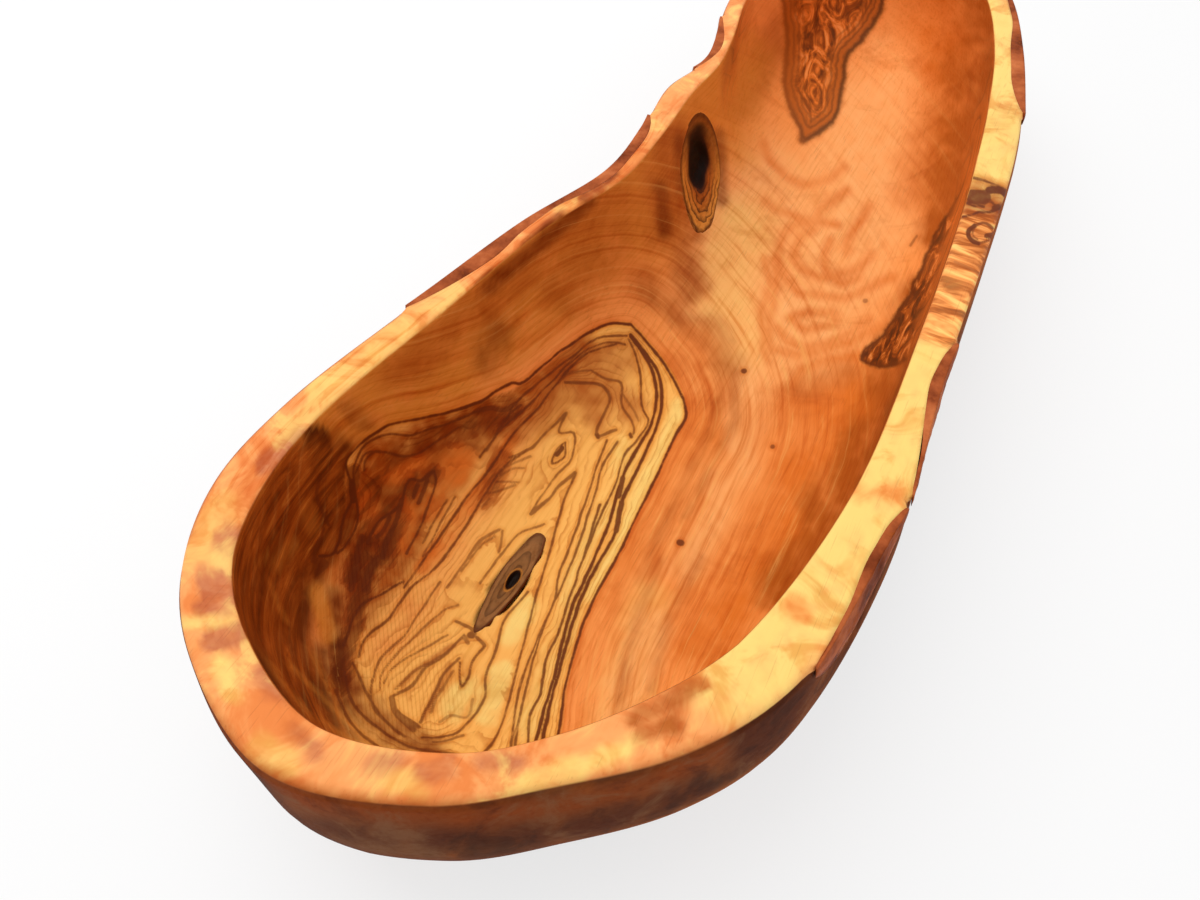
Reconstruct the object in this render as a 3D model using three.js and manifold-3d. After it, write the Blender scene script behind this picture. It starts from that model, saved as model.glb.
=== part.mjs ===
// Live-edge bread bowl hollowed out of one split log. Millimetres, +Z up, +X towards the narrow end.
import * as THREE from "three";
import { mergeVertices } from "three/addons/utils/BufferGeometryUtils.js";
import Module from "manifold-3d";

// Overall sizes, length and breadth measured along the top edge of the rim
const LENGTH = 446;
const BREADTH = 152;
const HEIGHT = 66;

// Wall and floor
const FLOOR_THICKNESS = 14;
const FLOOR_HALF = 10; // flat floor either side of the keel
const FOOT_HALF = 25; // flat foot either side of the keel
const BELLY_DROP = 25; // how far below the rim the outside is widest
const BELLY_OUT = 1.5; // how far the belly stands out past the rim, front and right
const BELLY_TUCK = 5; // how much further in the belly lies on the left
const UNDERSIDE_TURN = THREE.MathUtils.degToRad(75); // how far the underside has turned at the foot
const CAVITY_SQUARENESS = 3; // 2 gives a round hollow, more gives steeper walls
const RIM_WIDTH = 10; // the plan below widens and narrows it
const RIM_ROUND = 2.5;
const MOUTH_ROUND = 1.2;
const FLAT_RIM_LEAST = 0.8; // flat rim kept between the two rounds

// Bark left on the edge: it leans in from the wall to the rim
const BARK_LEAN = 1.5; // how far its outer face leans in at the rim
const BARK_DROP = 14; // height of the leaning face
const BARK_RIM_END = 0.8; // thickness seen on the rim at the two ends of a strip
const BARK_FOOT = 5; // height of its lower edge on the wall
const BARK_CROWN = 0.8; // how far its outer face swells
const BARK_FADE = 0.7; // below 1 a strip fades out fast at its ends
const BARK_LEAST = 0.3; // share of the full cover at which a strip stops
const FIT_GAP = 0.3; // clearance round every bark strip and knot

// Dead knots: elliptic plugs that narrow with depth
const KNOT_TAPER = 0.75; // size at the bottom over size at the surface
const KNOT_AIR = 12; // how far the plug reaches out of the surface before it is cut flush
const WALL_KNOT = { along: 0.583, side: "left", drop: 29, wide: 16, tall: 37, depth: 9 };
const FLOOR_KNOT = { along: 0.188, across: 0.596, wide: 8, tall: 36, depth: 7 };

// Rim seen from above: share of the length, share of the breadth from the right, share of the rim's width
const RIM_PLAN = [
  [0.0, 0.615, 1.35],
  [0.02, 0.405, 1.15],
  [0.052, 0.273, 1.1],
  [0.092, 0.141, 1.45],
  [0.144, 0.049, 1.6],
  [0.251, 0.0, 1.35],
  [0.399, 0.013, 1.1],
  [0.531, 0.02, 1.2],
  [0.608, 0.03, 1.3],
  [0.673, 0.049, 1.3],
  [0.776, 0.102, 1.2],
  [0.87, 0.1875, 1.1],
  [0.951, 0.326, 1.0],
  [0.998, 0.562, 1.0],
  [0.973, 0.786, 1.0],
  [0.904, 0.901, 0.95],
  [0.812, 0.901, 0.85],
  [0.749, 0.878, 0.8],
  [0.684, 0.836, 0.8],
  [0.637, 0.8125, 0.75],
  [0.587, 0.842, 1.1],
  [0.52, 0.819, 0.9],
  [0.46, 0.819, 0.85],
  [0.379, 0.891, 0.9],
  [0.28, 0.944, 1.05],
  [0.173, 0.997, 1.2],
  [0.112, 0.99, 1.35],
  [0.063, 0.924, 1.25],
  [0.027, 0.8125, 1.3],
];

// Keel line that the hollow follows, in the same shares
const KEEL_PLAN = [
  [0.161, 0.51],
  [0.336, 0.464],
  [0.516, 0.42],
  [0.695, 0.454],
  [0.848, 0.556],
];

// Bark strips: side of the rim, the shares of the length between which they lie, and how thick the bark
// is on the rim at even steps between the two ends
const BARK_STRIPS = [
  { name: "bark_right_front", side: "right", from: 0.15, to: 0.265, onRim: [0.8, 1.4, 2.2, 2.6, 2.2] },
  { name: "bark_right_middle", side: "right", from: 0.266, to: 0.4, onRim: [0.8, 1.2, 2.5, 3.4, 2.6] },
  { name: "bark_right_rear", side: "right", from: 0.668, to: 0.9, onRim: [4.2, 5, 4.2, 3, 2.4] },
  { name: "bark_left_middle", side: "left", from: 0.262, to: 0.55, onRim: [3.4, 5.4, 3.8, 2.4, 4.1, 3.7, 3.8] },
  { name: "bark_left_rear", side: "left", from: 0.62, to: 0.72, onRim: [1.8, 3, 3.2, 2] },
];

// Fineness of the mesh
const RIBS = 144;
const KEEL_SAMPLES = 400;
const UNDERSIDE_STEPS = 6;
const EDGE_STEPS = 3;
const MOUTH_STEPS = 2;
const CAVITY_STEPS = 9;
const KNOT_SIDES = 28;

const QUARTER_TURN = Math.PI / 2;

// Ribs: one upright section plane at each step round the rim, pointing in towards the keel
function makeRibs() {
  const rimPoints = RIM_PLAN.map(([along, across, width]) => {
    return new THREE.Vector3(along * LENGTH, across * BREADTH, width * RIM_WIDTH);
  });
  const rim = new THREE.CatmullRomCurve3(rimPoints, true, "centripetal");
  rim.arcLengthDivisions = RIBS * 10;
  const keelPoints = KEEL_PLAN.map(([along, across]) => {
    return new THREE.Vector3(along * LENGTH, across * BREADTH, 0);
  });
  const keel = new THREE.CatmullRomCurve3(keelPoints).getSpacedPoints(KEEL_SAMPLES);
  const ribs = [];
  for (let i = 0; i < RIBS; i++) {
    const point = rim.getPointAt(i / RIBS);
    const start = new THREE.Vector3(point.x, point.y, 0);
    let nearest = keel[0];
    for (const candidate of keel) {
      if (candidate.distanceTo(start) < nearest.distanceTo(start)) {
        nearest = candidate;
      }
    }
    const reach = nearest.distanceTo(start);
    const inward = nearest.clone().sub(start).normalize();
    const side = start.y < nearest.y ? "right" : "left";
    ribs.push({ start, inward, reach, side, along: point.x / LENGTH, rimWidth: point.z });
  }
  for (const rib of ribs) {
    rib.strip = BARK_STRIPS.find((strip) => carries(rib, strip));
    rib.cover = barkCover(rib);
    rib.barkOnRim = barkOnRim(rib);
    rib.rimWidth = Math.max(rib.rimWidth, woodEdge(rib).lean + FLAT_RIM_LEAST + MOUTH_ROUND);
  }
  return ribs;
}

function carries(rib, strip) {
  return rib.side === strip.side && rib.along > strip.from && rib.along < strip.to;
}

function shareOfStrip(rib) {
  return (rib.along - rib.strip.from) / (rib.strip.to - rib.strip.from);
}

// Share of the full bark section left at a rib: nothing at the ends of a strip, all in its middle
function barkCover(rib) {
  if (!rib.strip) {
    return 0;
  }
  return Math.pow(Math.sin(Math.PI * shareOfStrip(rib)), BARK_FADE);
}

// Thickness of the bark on the rim, on a smooth curve through the values of its strip
function barkOnRim(rib) {
  if (!rib.strip) {
    return 0;
  }
  const values = [BARK_RIM_END, ...rib.strip.onRim, BARK_RIM_END];
  const points = values.map((value, i) => new THREE.Vector2(i, value));
  return new THREE.SplineCurve(points).getPoint(shareOfStrip(rib)).y;
}

// Point on a rib, a distance in from the rim line and a height above the foot
function onRib(rib, inset, height) {
  const point = rib.start.clone().addScaledVector(rib.inward, inset);
  point.z = height;
  return point;
}

// Outer edge of the wood: a round where bare, a slanting seat where it carries bark
function woodEdge(rib) {
  const full = Math.min(1, rib.cover / BARK_LEAST);
  const lean = RIM_ROUND + rib.cover * (BARK_LEAN - RIM_ROUND) + full * rib.barkOnRim;
  const drop = RIM_ROUND + rib.cover * (BARK_DROP + BARK_FOOT - RIM_ROUND);
  return { full, lean, drop };
}

// Inset of the hollow's wall at a share of its depth
function cavityInset(rib, share) {
  const run = rib.reach - rib.rimWidth - FLOOR_HALF;
  const rest = Math.pow(1 - Math.pow(share, CAVITY_SQUARENESS), 1 / CAVITY_SQUARENESS);
  return rib.rimWidth + run * (1 - rest);
}

// Section of the wood at one rib, from the foot up the outside, over the rim and down to the floor
function woodSection(rib) {
  const section = [];
  const bellyHeight = HEIGHT - BELLY_DROP;
  const belly = BELLY_TUCK * Math.max(0, -rib.inward.y) - BELLY_OUT;
  const undersideRun = rib.reach - FOOT_HALF - belly;
  for (let i = UNDERSIDE_STEPS; i >= 0; i--) {
    const turn = (UNDERSIDE_TURN * i) / UNDERSIDE_STEPS;
    const runShare = (1 - Math.cos(turn)) / (1 - Math.cos(UNDERSIDE_TURN));
    const fallShare = Math.sin(turn) / Math.sin(UNDERSIDE_TURN);
    section.push([belly + undersideRun * runShare, bellyHeight * (1 - fallShare)]);
  }
  const edge = woodEdge(rib);
  for (let i = 0; i <= EDGE_STEPS; i++) {
    const share = i / EDGE_STEPS;
    const turn = QUARTER_TURN * share;
    const inShare = THREE.MathUtils.lerp(1 - Math.cos(turn), share, edge.full);
    const upShare = THREE.MathUtils.lerp(Math.sin(turn), share, edge.full);
    section.push([edge.lean * inShare, HEIGHT - edge.drop * (1 - upShare)]);
  }
  for (let i = 0; i < MOUTH_STEPS; i++) {
    const turn = (QUARTER_TURN * i) / MOUTH_STEPS;
    const inset = rib.rimWidth - MOUTH_ROUND * (1 - Math.sin(turn));
    section.push([inset, HEIGHT - MOUTH_ROUND * (1 - Math.cos(turn))]);
  }
  const wallTop = HEIGHT - MOUTH_ROUND;
  for (let i = 0; i <= CAVITY_STEPS; i++) {
    const turn = (QUARTER_TURN * i) / CAVITY_STEPS;
    const share = Math.pow(Math.sin(turn), 2 / CAVITY_SQUARENESS);
    section.push([cavityInset(rib, share), wallTop - (wallTop - FLOOR_THICKNESS) * share]);
  }
  return section;
}

// Section of a bark strip: up the inner face along its seat, then down the crowned outer face
function barkSection(rib) {
  const lean = RIM_ROUND + rib.cover * (BARK_LEAN - RIM_ROUND);
  const drop = RIM_ROUND + rib.cover * (BARK_DROP - RIM_ROUND);
  const seat = woodEdge(rib);
  const slant = Math.hypot(seat.lean, seat.drop);
  const innerLean = seat.lean - (FIT_GAP * slant) / seat.drop;
  const innerDrop = seat.drop - (FIT_GAP * slant) / seat.lean;
  return [
    [0, HEIGHT - innerDrop],
    [innerLean, HEIGHT],
    [lean, HEIGHT],
    [lean / 2 - BARK_CROWN * rib.cover, HEIGHT - drop / 2],
    [0, HEIGHT - drop],
  ];
}

// Closed skin over rings of equal point count; the first and last rings are filled in
function skin(rings, firstOutline, lastOutline) {
  const count = rings[0].length;
  const positions = rings.flat().flatMap((point) => [point.x, point.y, point.z]);
  const faces = [];
  for (let k = 0; k < rings.length - 1; k++) {
    for (let j = 0; j < count; j++) {
      const next = (j + 1) % count;
      const a = k * count + j;
      const b = k * count + next;
      const c = (k + 1) * count + next;
      const d = (k + 1) * count + j;
      faces.push([a, b, c], [a, c, d]);
    }
  }
  faces.push(...fill(firstOutline, 0).map(([a, b, c]) => [a, c, b]));
  faces.push(...fill(lastOutline, (rings.length - 1) * count));
  const geometry = new THREE.BufferGeometry();
  geometry.setAttribute("position", new THREE.Float32BufferAttribute(positions, 3));
  geometry.setIndex(faces.flat());
  return geometry;
}

// Triangles across a flat outline, wound the same way as the outline
function fill(outline, firstIndex) {
  const turning = Math.sign(THREE.ShapeUtils.area(outline));
  return THREE.ShapeUtils.triangulateShape(outline, []).map((triangle) => {
    const corners = triangle.map((index) => outline[index]);
    const sameWay = Math.sign(THREE.ShapeUtils.area(corners)) === turning;
    const [a, b, c] = triangle.map((index) => index + firstIndex);
    return sameWay ? [a, b, c] : [a, c, b];
  });
}

function woodGeometry(ribs) {
  const sections = ribs.map(woodSection);
  const rings = [];
  for (let k = 0; k < sections[0].length; k++) {
    rings.push(ribs.map((rib, j) => onRib(rib, ...sections[j][k])));
  }
  const plan = (ring) => ring.map((point) => new THREE.Vector2(point.x, point.y));
  return skin(rings, plan(rings[0]), plan(rings[rings.length - 1]));
}

// Bark is drawn over the ribs of one strip that carry enough of it
function barkGeometry(ribs, strip) {
  const carrying = ribs.filter((rib) => rib.strip === strip && rib.cover >= BARK_LEAST);
  const sections = carrying.map(barkSection);
  const rings = carrying.map((rib, j) => sections[j].map((point) => onRib(rib, ...point)));
  const outline = (section) => section.map(([inset, height]) => new THREE.Vector2(inset, height));
  return skin(rings, outline(sections[0]), outline(sections[sections.length - 1]));
}

// Elliptic plug standing on a surface point: it points out of the wood along the given axis
function knotGeometry(knot, point, axis, upright, grown) {
  const bottom = -knot.depth - grown;
  const profile = [
    new THREE.Vector2(0, bottom),
    new THREE.Vector2(KNOT_TAPER, bottom),
    new THREE.Vector2(1, 0),
    new THREE.Vector2(1, KNOT_AIR),
    new THREE.Vector2(0, KNOT_AIR),
  ];
  const plug = new THREE.LatheGeometry(profile, KNOT_SIDES);
  plug.scale(knot.wide / 2 + grown, 1, knot.tall / 2 + grown);
  const sideways = new THREE.Vector3().crossVectors(axis, upright);
  const frame = new THREE.Matrix4().makeBasis(sideways, axis, upright);
  plug.applyMatrix4(frame.setPosition(point));
  return plug;
}

const wasm = await Module();
wasm.setup();

function toSolid(geometry) {
  const bare = geometry.clone();
  bare.deleteAttribute("normal");
  bare.deleteAttribute("uv");
  const merged = mergeVertices(bare, 1e-4);
  const mesh = new wasm.Mesh({
    numProp: 3,
    vertProperties: new Float32Array(merged.attributes.position.array),
    triVerts: new Uint32Array(merged.index.array),
  });
  return new wasm.Manifold(mesh);
}

function toGeometry(solid) {
  const mesh = solid.getMesh();
  const geometry = new THREE.BufferGeometry();
  geometry.setAttribute("position", new THREE.Float32BufferAttribute(mesh.vertProperties, 3));
  geometry.setIndex(Array.from(mesh.triVerts));
  return geometry;
}

const oliveWood = new THREE.MeshStandardMaterial({ color: "#d98e4f", roughness: 0.4, metalness: 0 });
const barkWood = new THREE.MeshStandardMaterial({ color: "#6f3c24", roughness: 0.75, metalness: 0 });
const knotWood = new THREE.MeshStandardMaterial({ color: "#4a2b1e", roughness: 0.6, metalness: 0 });
oliveWood.name = "olive_wood";
barkWood.name = "bark";
knotWood.name = "knot_wood";

const bowl = new THREE.Group();
bowl.name = "bread_bowl";
function addPiece(name, geometry, material) {
  const mesh = new THREE.Mesh(geometry, material);
  mesh.name = name;
  geometry.computeVertexNormals();
  bowl.add(mesh);
}

const ribs = makeRibs();
let wood = toSolid(woodGeometry(ribs));
function setKnot(name, knot, point, axis, upright) {
  const plug = toSolid(knotGeometry(knot, point, axis, upright, 0));
  const pocket = toSolid(knotGeometry(knot, point, axis, upright, FIT_GAP));
  addPiece(name, toGeometry(wood.intersect(plug)), knotWood);
  wood = wood.subtract(pocket);
}

// The wall knot looks straight out of the left wall
const knotRibs = ribs.filter((rib) => rib.side === WALL_KNOT.side);
const wallRib = knotRibs.reduce((best, rib) => {
  const nearer = Math.abs(rib.along - WALL_KNOT.along) < Math.abs(best.along - WALL_KNOT.along);
  return nearer ? rib : best;
});
const upAxis = new THREE.Vector3(0, 0, 1);
const lengthAxis = new THREE.Vector3(1, 0, 0);
const wallShare = (WALL_KNOT.drop - MOUTH_ROUND) / (HEIGHT - MOUTH_ROUND - FLOOR_THICKNESS);
const wallPoint = onRib(wallRib, cavityInset(wallRib, wallShare), HEIGHT - WALL_KNOT.drop);
setKnot("knot_wall", WALL_KNOT, wallPoint, wallRib.inward, upAxis);

// The floor knot lies along the bowl, left of the keel
const floorAlong = FLOOR_KNOT.along * LENGTH;
const floorAcross = FLOOR_KNOT.across * BREADTH;
const floorPoint = new THREE.Vector3(floorAlong, floorAcross, FLOOR_THICKNESS);
setKnot("knot_floor", FLOOR_KNOT, floorPoint, upAxis, lengthAxis);

addPiece("bowl_body", toGeometry(wood), oliveWood);
for (const strip of BARK_STRIPS) {
  addPiece(strip.name, barkGeometry(ribs, strip), barkWood);
}

// Stand the bowl with its foot on z = 0 and the middle of its outline over the origin
const middle = new THREE.Box3().setFromObject(bowl).getCenter(new THREE.Vector3());
for (const piece of bowl.children) {
  piece.geometry.translate(-middle.x, -middle.y, 0);
}

export default bowl;
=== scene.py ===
# %% [markdown]
# # A live-edge bread bowl
# The bowl is hollowed out of one split log of olive wood. Its rim is the log's own wavy edge, sawn flat
# on top, with strips of bark left on it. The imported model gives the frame: everything here is in metres,
# stands where the solids stand and dresses them.

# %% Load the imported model
import math
from types import SimpleNamespace

import bmesh
import bpy
import numpy as np
from mathutils import Matrix, Vector, noise
from mathutils.bvhtree import BVHTree


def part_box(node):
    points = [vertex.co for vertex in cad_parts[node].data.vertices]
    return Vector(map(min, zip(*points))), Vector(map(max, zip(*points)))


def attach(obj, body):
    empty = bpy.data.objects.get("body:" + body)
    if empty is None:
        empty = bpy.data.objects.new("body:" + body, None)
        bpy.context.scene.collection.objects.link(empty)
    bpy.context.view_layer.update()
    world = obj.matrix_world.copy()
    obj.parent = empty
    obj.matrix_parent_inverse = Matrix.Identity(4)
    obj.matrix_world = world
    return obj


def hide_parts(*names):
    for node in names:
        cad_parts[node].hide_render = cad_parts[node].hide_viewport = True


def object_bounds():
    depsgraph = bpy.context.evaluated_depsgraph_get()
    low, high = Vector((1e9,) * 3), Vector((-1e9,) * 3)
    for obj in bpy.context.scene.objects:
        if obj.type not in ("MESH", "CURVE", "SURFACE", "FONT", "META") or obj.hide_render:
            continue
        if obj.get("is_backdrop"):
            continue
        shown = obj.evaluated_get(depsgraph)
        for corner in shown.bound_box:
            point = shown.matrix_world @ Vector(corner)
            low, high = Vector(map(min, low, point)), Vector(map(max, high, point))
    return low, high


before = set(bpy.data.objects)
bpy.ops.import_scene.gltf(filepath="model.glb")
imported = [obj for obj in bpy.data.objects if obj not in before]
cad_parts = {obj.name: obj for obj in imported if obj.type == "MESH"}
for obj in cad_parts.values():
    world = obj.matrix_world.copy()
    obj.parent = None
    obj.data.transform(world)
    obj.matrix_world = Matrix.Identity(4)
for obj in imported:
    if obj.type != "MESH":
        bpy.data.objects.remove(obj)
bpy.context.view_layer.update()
print("solids:", sorted(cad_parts))

# %% [markdown]
# ## Camera
# The photograph looks down into the broad end with a phone's wide lens. A pinhole at a known place gives
# two things: the picture's framing, and a way to say where on the wood a mark in the picture lies.

# %% Put the camera where the photograph was taken
MM = 0.001
PHOTO_WIDE, PHOTO_HIGH = 1200, 900
FOCAL_PX = 900
SENSOR = 36
NEAREST = 10 * MM
EYE = Vector((-246.1, -65.9, 236)) * MM
LOOK_DOWN = math.radians(51)
LOOK_ROUND = math.radians(27)

ahead = Vector((math.cos(LOOK_ROUND), math.sin(LOOK_ROUND), 0))
look = ahead * math.cos(LOOK_DOWN) - Vector((0, 0, math.sin(LOOK_DOWN)))
rightward = look.cross(Vector((0, 0, 1))).normalized()
upward = rightward.cross(look)

lens = bpy.data.cameras.new("photo_lens")
lens.sensor_width = SENSOR
lens.lens = FOCAL_PX / PHOTO_WIDE * SENSOR
lens.clip_start = NEAREST
camera = bpy.data.objects.new("photo_camera", lens)
aim = Matrix((rightward, upward, -look)).transposed()
camera.matrix_world = Matrix.Translation(EYE) @ aim.to_4x4()
bpy.context.collection.objects.link(camera)
bpy.context.scene.camera = camera


def in_photo(points):
    """Pixel of the 1200 by 900 photograph at which each point shows."""
    rays = points - np.array(EYE)
    depth = rays @ np.array(look)
    across = PHOTO_WIDE / 2 + FOCAL_PX * (rays @ np.array(rightward)) / depth
    down = PHOTO_HIGH / 2 - FOCAL_PX * (rays @ np.array(upward)) / depth
    return np.stack([across, down], axis=1)


print("lens in mm:", lens.lens)

# %% [markdown]
# ## The rim line and its ribs
# The solids were lofted on upright ribs that start on the rim and point in to a bent keel line. The same
# plan is repeated here with many more ribs, so the dressed wood lies where the solid lies.

# %% Plan of the rim and of the keel
LENGTH, BREADTH, HEIGHT = 446 * MM, 152 * MM, 66 * MM
RIM_WIDTH = 10 * MM
RIM_PLAN = [
    (0.0, 0.615, 1.35), (0.02, 0.405, 1.15), (0.052, 0.273, 1.1), (0.092, 0.141, 1.45),
    (0.144, 0.049, 1.6), (0.251, 0.0, 1.35), (0.399, 0.013, 1.1), (0.531, 0.02, 1.2),
    (0.608, 0.03, 1.3), (0.673, 0.049, 1.3), (0.776, 0.102, 1.2), (0.87, 0.1875, 1.1),
    (0.951, 0.326, 1.0), (0.998, 0.562, 1.0), (0.973, 0.786, 1.0), (0.904, 0.901, 0.95),
    (0.812, 0.901, 0.85), (0.749, 0.878, 0.8), (0.684, 0.836, 0.8), (0.637, 0.8125, 0.75),
    (0.587, 0.842, 1.1), (0.52, 0.819, 0.9), (0.46, 0.819, 0.85), (0.379, 0.891, 0.9),
    (0.28, 0.944, 1.05), (0.173, 0.997, 1.2), (0.112, 0.99, 1.35), (0.063, 0.924, 1.25),
    (0.027, 0.8125, 1.3),
]
KEEL_PLAN = [(0.161, 0.51), (0.336, 0.464), (0.516, 0.42), (0.695, 0.454), (0.848, 0.556)]


def smooth_curve(points, closed, per_span):
    """Centripetal Catmull-Rom curve through the points, as a fine polyline."""
    points = np.array(points, float)
    if closed:
        before, after = np.roll(points, 1, 0), np.roll(points, -1, 0)
        later = np.roll(points, -2, 0)
    else:
        ends = np.vstack([2 * points[0] - points[1], points, 2 * points[-1] - points[-2]])
        before, points, after, later = ends[:-3], ends[1:-2], ends[2:-1], ends[3:]
    step = np.arange(per_span)[:, None] / per_span
    spans = []
    for p0, p1, p2, p3 in zip(before, points, after, later):
        d0, d1, d2 = (np.sqrt(np.linalg.norm(b - a)) for a, b in ((p0, p1), (p1, p2), (p2, p3)))
        leave = ((p1 - p0) / d0 - (p2 - p0) / (d0 + d1) + (p2 - p1) / d1) * d1
        arrive = ((p2 - p1) / d1 - (p3 - p1) / (d1 + d2) + (p3 - p2) / d2) * d1
        bend = 3 * (p2 - p1) - 2 * leave - arrive
        twist = 2 * (p1 - p2) + leave + arrive
        spans.append(p1 + leave * step + bend * step**2 + twist * step**3)
    spans.append(points[:1] if closed else after[-1:])
    return np.vstack(spans)


RIM_SPAN_STEPS, KEEL_SPAN_STEPS = 120, 100
plan_size = np.array([LENGTH, BREADTH, RIM_WIDTH])
rim_curve = smooth_curve(np.array(RIM_PLAN) * plan_size, True, RIM_SPAN_STEPS)
keel_curve = smooth_curve(np.array(KEEL_PLAN) * plan_size[:2], False, KEEL_SPAN_STEPS)
rim_steps = np.linalg.norm(np.diff(rim_curve[:, :2], axis=0), axis=1)
rim_travel = np.concatenate([[0], np.cumsum(rim_steps)])
RIM_AROUND = rim_travel[-1]
print("way round the rim in mm:", round(1000 * RIM_AROUND))

# %% [markdown]
# Where bark was left, the wood's outer corner is cut to a slanting seat for it. The cover says how much
# of the full bark there is at a rib: nothing at the ends of a strip, all of it in the middle.

# %% Sizes of the edge and the ribs at any places round the rim
RIM_ROUND, MOUTH_ROUND, FLAT_LEAST = 3.4 * MM, 1.2 * MM, 0.8 * MM
BARK_LEAN, BARK_DROP, BARK_FOOT = 1.5 * MM, 14 * MM, 5 * MM
BARK_FADE, BARK_LEAST = 0.7, 0.3
BARK_RIM_END = 0.8  # thickness on the rim at the ends of a strip, mm
BARK_STRIPS = {  # on the right side, where it begins and stops, and its thickness on the rim between, mm
    "bark_right_front": (True, 0.15, 0.265, [0.8, 1.4, 2.2, 2.6, 2.2]),
    "bark_right_middle": (True, 0.266, 0.4, [0.8, 1.2, 2.5, 3.4, 2.6]),
    "bark_right_rear": (True, 0.668, 0.9, [4.2, 5, 4.2, 3, 2.4]),
    "bark_left_middle": (False, 0.262, 0.55, [3.4, 5.4, 3.8, 2.4, 4.1, 3.7, 3.8]),
    "bark_left_rear": (False, 0.62, 0.72, [1.8, 3, 3.2, 2]),
}
SEAT_WAVE = 0.8 * MM
SEAT_WAVE_LENGTH = 15 * MM
SHARP_COVER = 0.2  # from here on the wood keeps no round under the bark
WAVE_ROW = (0.37, 0.71)  # where in the noise the waves are read


def slow_waves(travel, length):
    """Smooth unrepeating waves between -1 and 1 along a way."""
    return np.array([noise.noise(Vector((way / length, *WAVE_ROW))) for way in travel])


def even_curve(values, share):
    """Smooth curve through values at even steps, read at shares of its length."""
    padded = np.array([values[0], *values, values[-1]], float)
    place = share * (len(values) - 1)
    at = np.clip(place.astype(int), 0, len(values) - 2)
    part = place - at
    p0, p1, p2, p3 = (padded[at + step] for step in range(4))
    leave, arrive = (p2 - p0) / 2, (p3 - p1) / 2
    bend = 3 * (p2 - p1) - 2 * leave - arrive
    return p1 + leave * part + bend * part**2 + (2 * (p1 - p2) + leave + arrive) * part**3


def ribs_at(travel):
    """Section planes at the given ways round the rim, with all that shapes the edge there."""
    columns = [np.interp(travel % RIM_AROUND, rim_travel, column) for column in rim_curve.T]
    ribs = SimpleNamespace(count=len(travel), travel=travel)
    ribs.start = np.stack(columns[:2], axis=1)
    gaps = np.linalg.norm(ribs.start[:, None] - keel_curve[None], axis=2)
    foot = keel_curve[gaps.argmin(axis=1)]
    ribs.reach = gaps.min(axis=1)
    ribs.inward = (foot - ribs.start) / ribs.reach[:, None]
    ribs.along = ribs.start[:, 0] / LENGTH
    ribs.right = ribs.start[:, 1] < foot[:, 1]
    ribs.cover, on_rim = np.zeros(ribs.count), np.zeros(ribs.count)
    for right, begin, stop, thickness in BARK_STRIPS.values():
        share = (ribs.along - begin) / (stop - begin)
        carrying = (ribs.right == right) & (share > 0) & (share < 1)
        ribs.cover[carrying] = np.sin(math.pi * share[carrying]) ** BARK_FADE
        values = [BARK_RIM_END, *thickness, BARK_RIM_END]
        on_rim[carrying] = even_curve(values, share[carrying]) * MM
    waves = slow_waves(ribs.travel, SEAT_WAVE_LENGTH) * SEAT_WAVE
    ribs.round = RIM_ROUND * (1 - np.minimum(1, ribs.cover / SHARP_COVER))
    ribs.slanted = np.minimum(1, ribs.cover / BARK_LEAST)
    ribs.lean = ribs.round + ribs.cover * (BARK_LEAN + waves) + ribs.slanted * on_rim
    ribs.drop = ribs.round + ribs.cover * (BARK_DROP + BARK_FOOT)
    ribs.width = np.maximum(columns[2], ribs.lean + FLAT_LEAST + MOUTH_ROUND)
    return ribs


RIBS = 480
SEAM_AT = 0.47  # share of the way round, at the far narrow end
ribs = ribs_at((np.arange(RIBS + 1) / RIBS + SEAM_AT) * RIM_AROUND)
print("ribs:", RIBS, "of which with bark:", int((ribs.cover > BARK_LEAST).sum()))

# %% [markdown]
# ## Section of the wood
# At each rib the section runs from the foot up the outside, over the rim and down to the floor. It is
# kept as rings: one row of insets and heights round the whole bowl for each step of the section.

# %% Rings of the section
FLOOR = 14 * MM
FLOOR_HALF, FOOT_HALF = 10 * MM, 25 * MM
BELLY_DROP, BELLY_OUT, BELLY_TUCK = 25 * MM, 1.5 * MM, 5 * MM
UNDERSIDE_TURN = math.radians(75)
SQUARENESS = 3
FLOOR_SLIT = 0.3 * MM
SKIN_IN = 0.25 * MM  # keeps the smooth skin inside the faceted solid's box
OUTSIDE, RIM, INSIDE = 0, 1, 2
UNDERSIDE_RINGS, SIDE_RINGS, CORNER_RINGS, RIM_RINGS = 15, 7, 6, 9
MOUTH_RINGS, WALL_RINGS, FLOOR_RINGS = 5, 47, 8
SIDE_BEND = 1.5
CURVE_STEPS = 2000

rings = []


def add_ring(inset, height, surface):
    """Keeps one ring: how far in from the rim line, how high, and on which surface it lies."""
    inset = inset + (SKIN_IN if surface == OUTSIDE else 0)
    rings.append((np.broadcast_to(inset, ribs.count), np.broadcast_to(height, ribs.count), surface))


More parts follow.
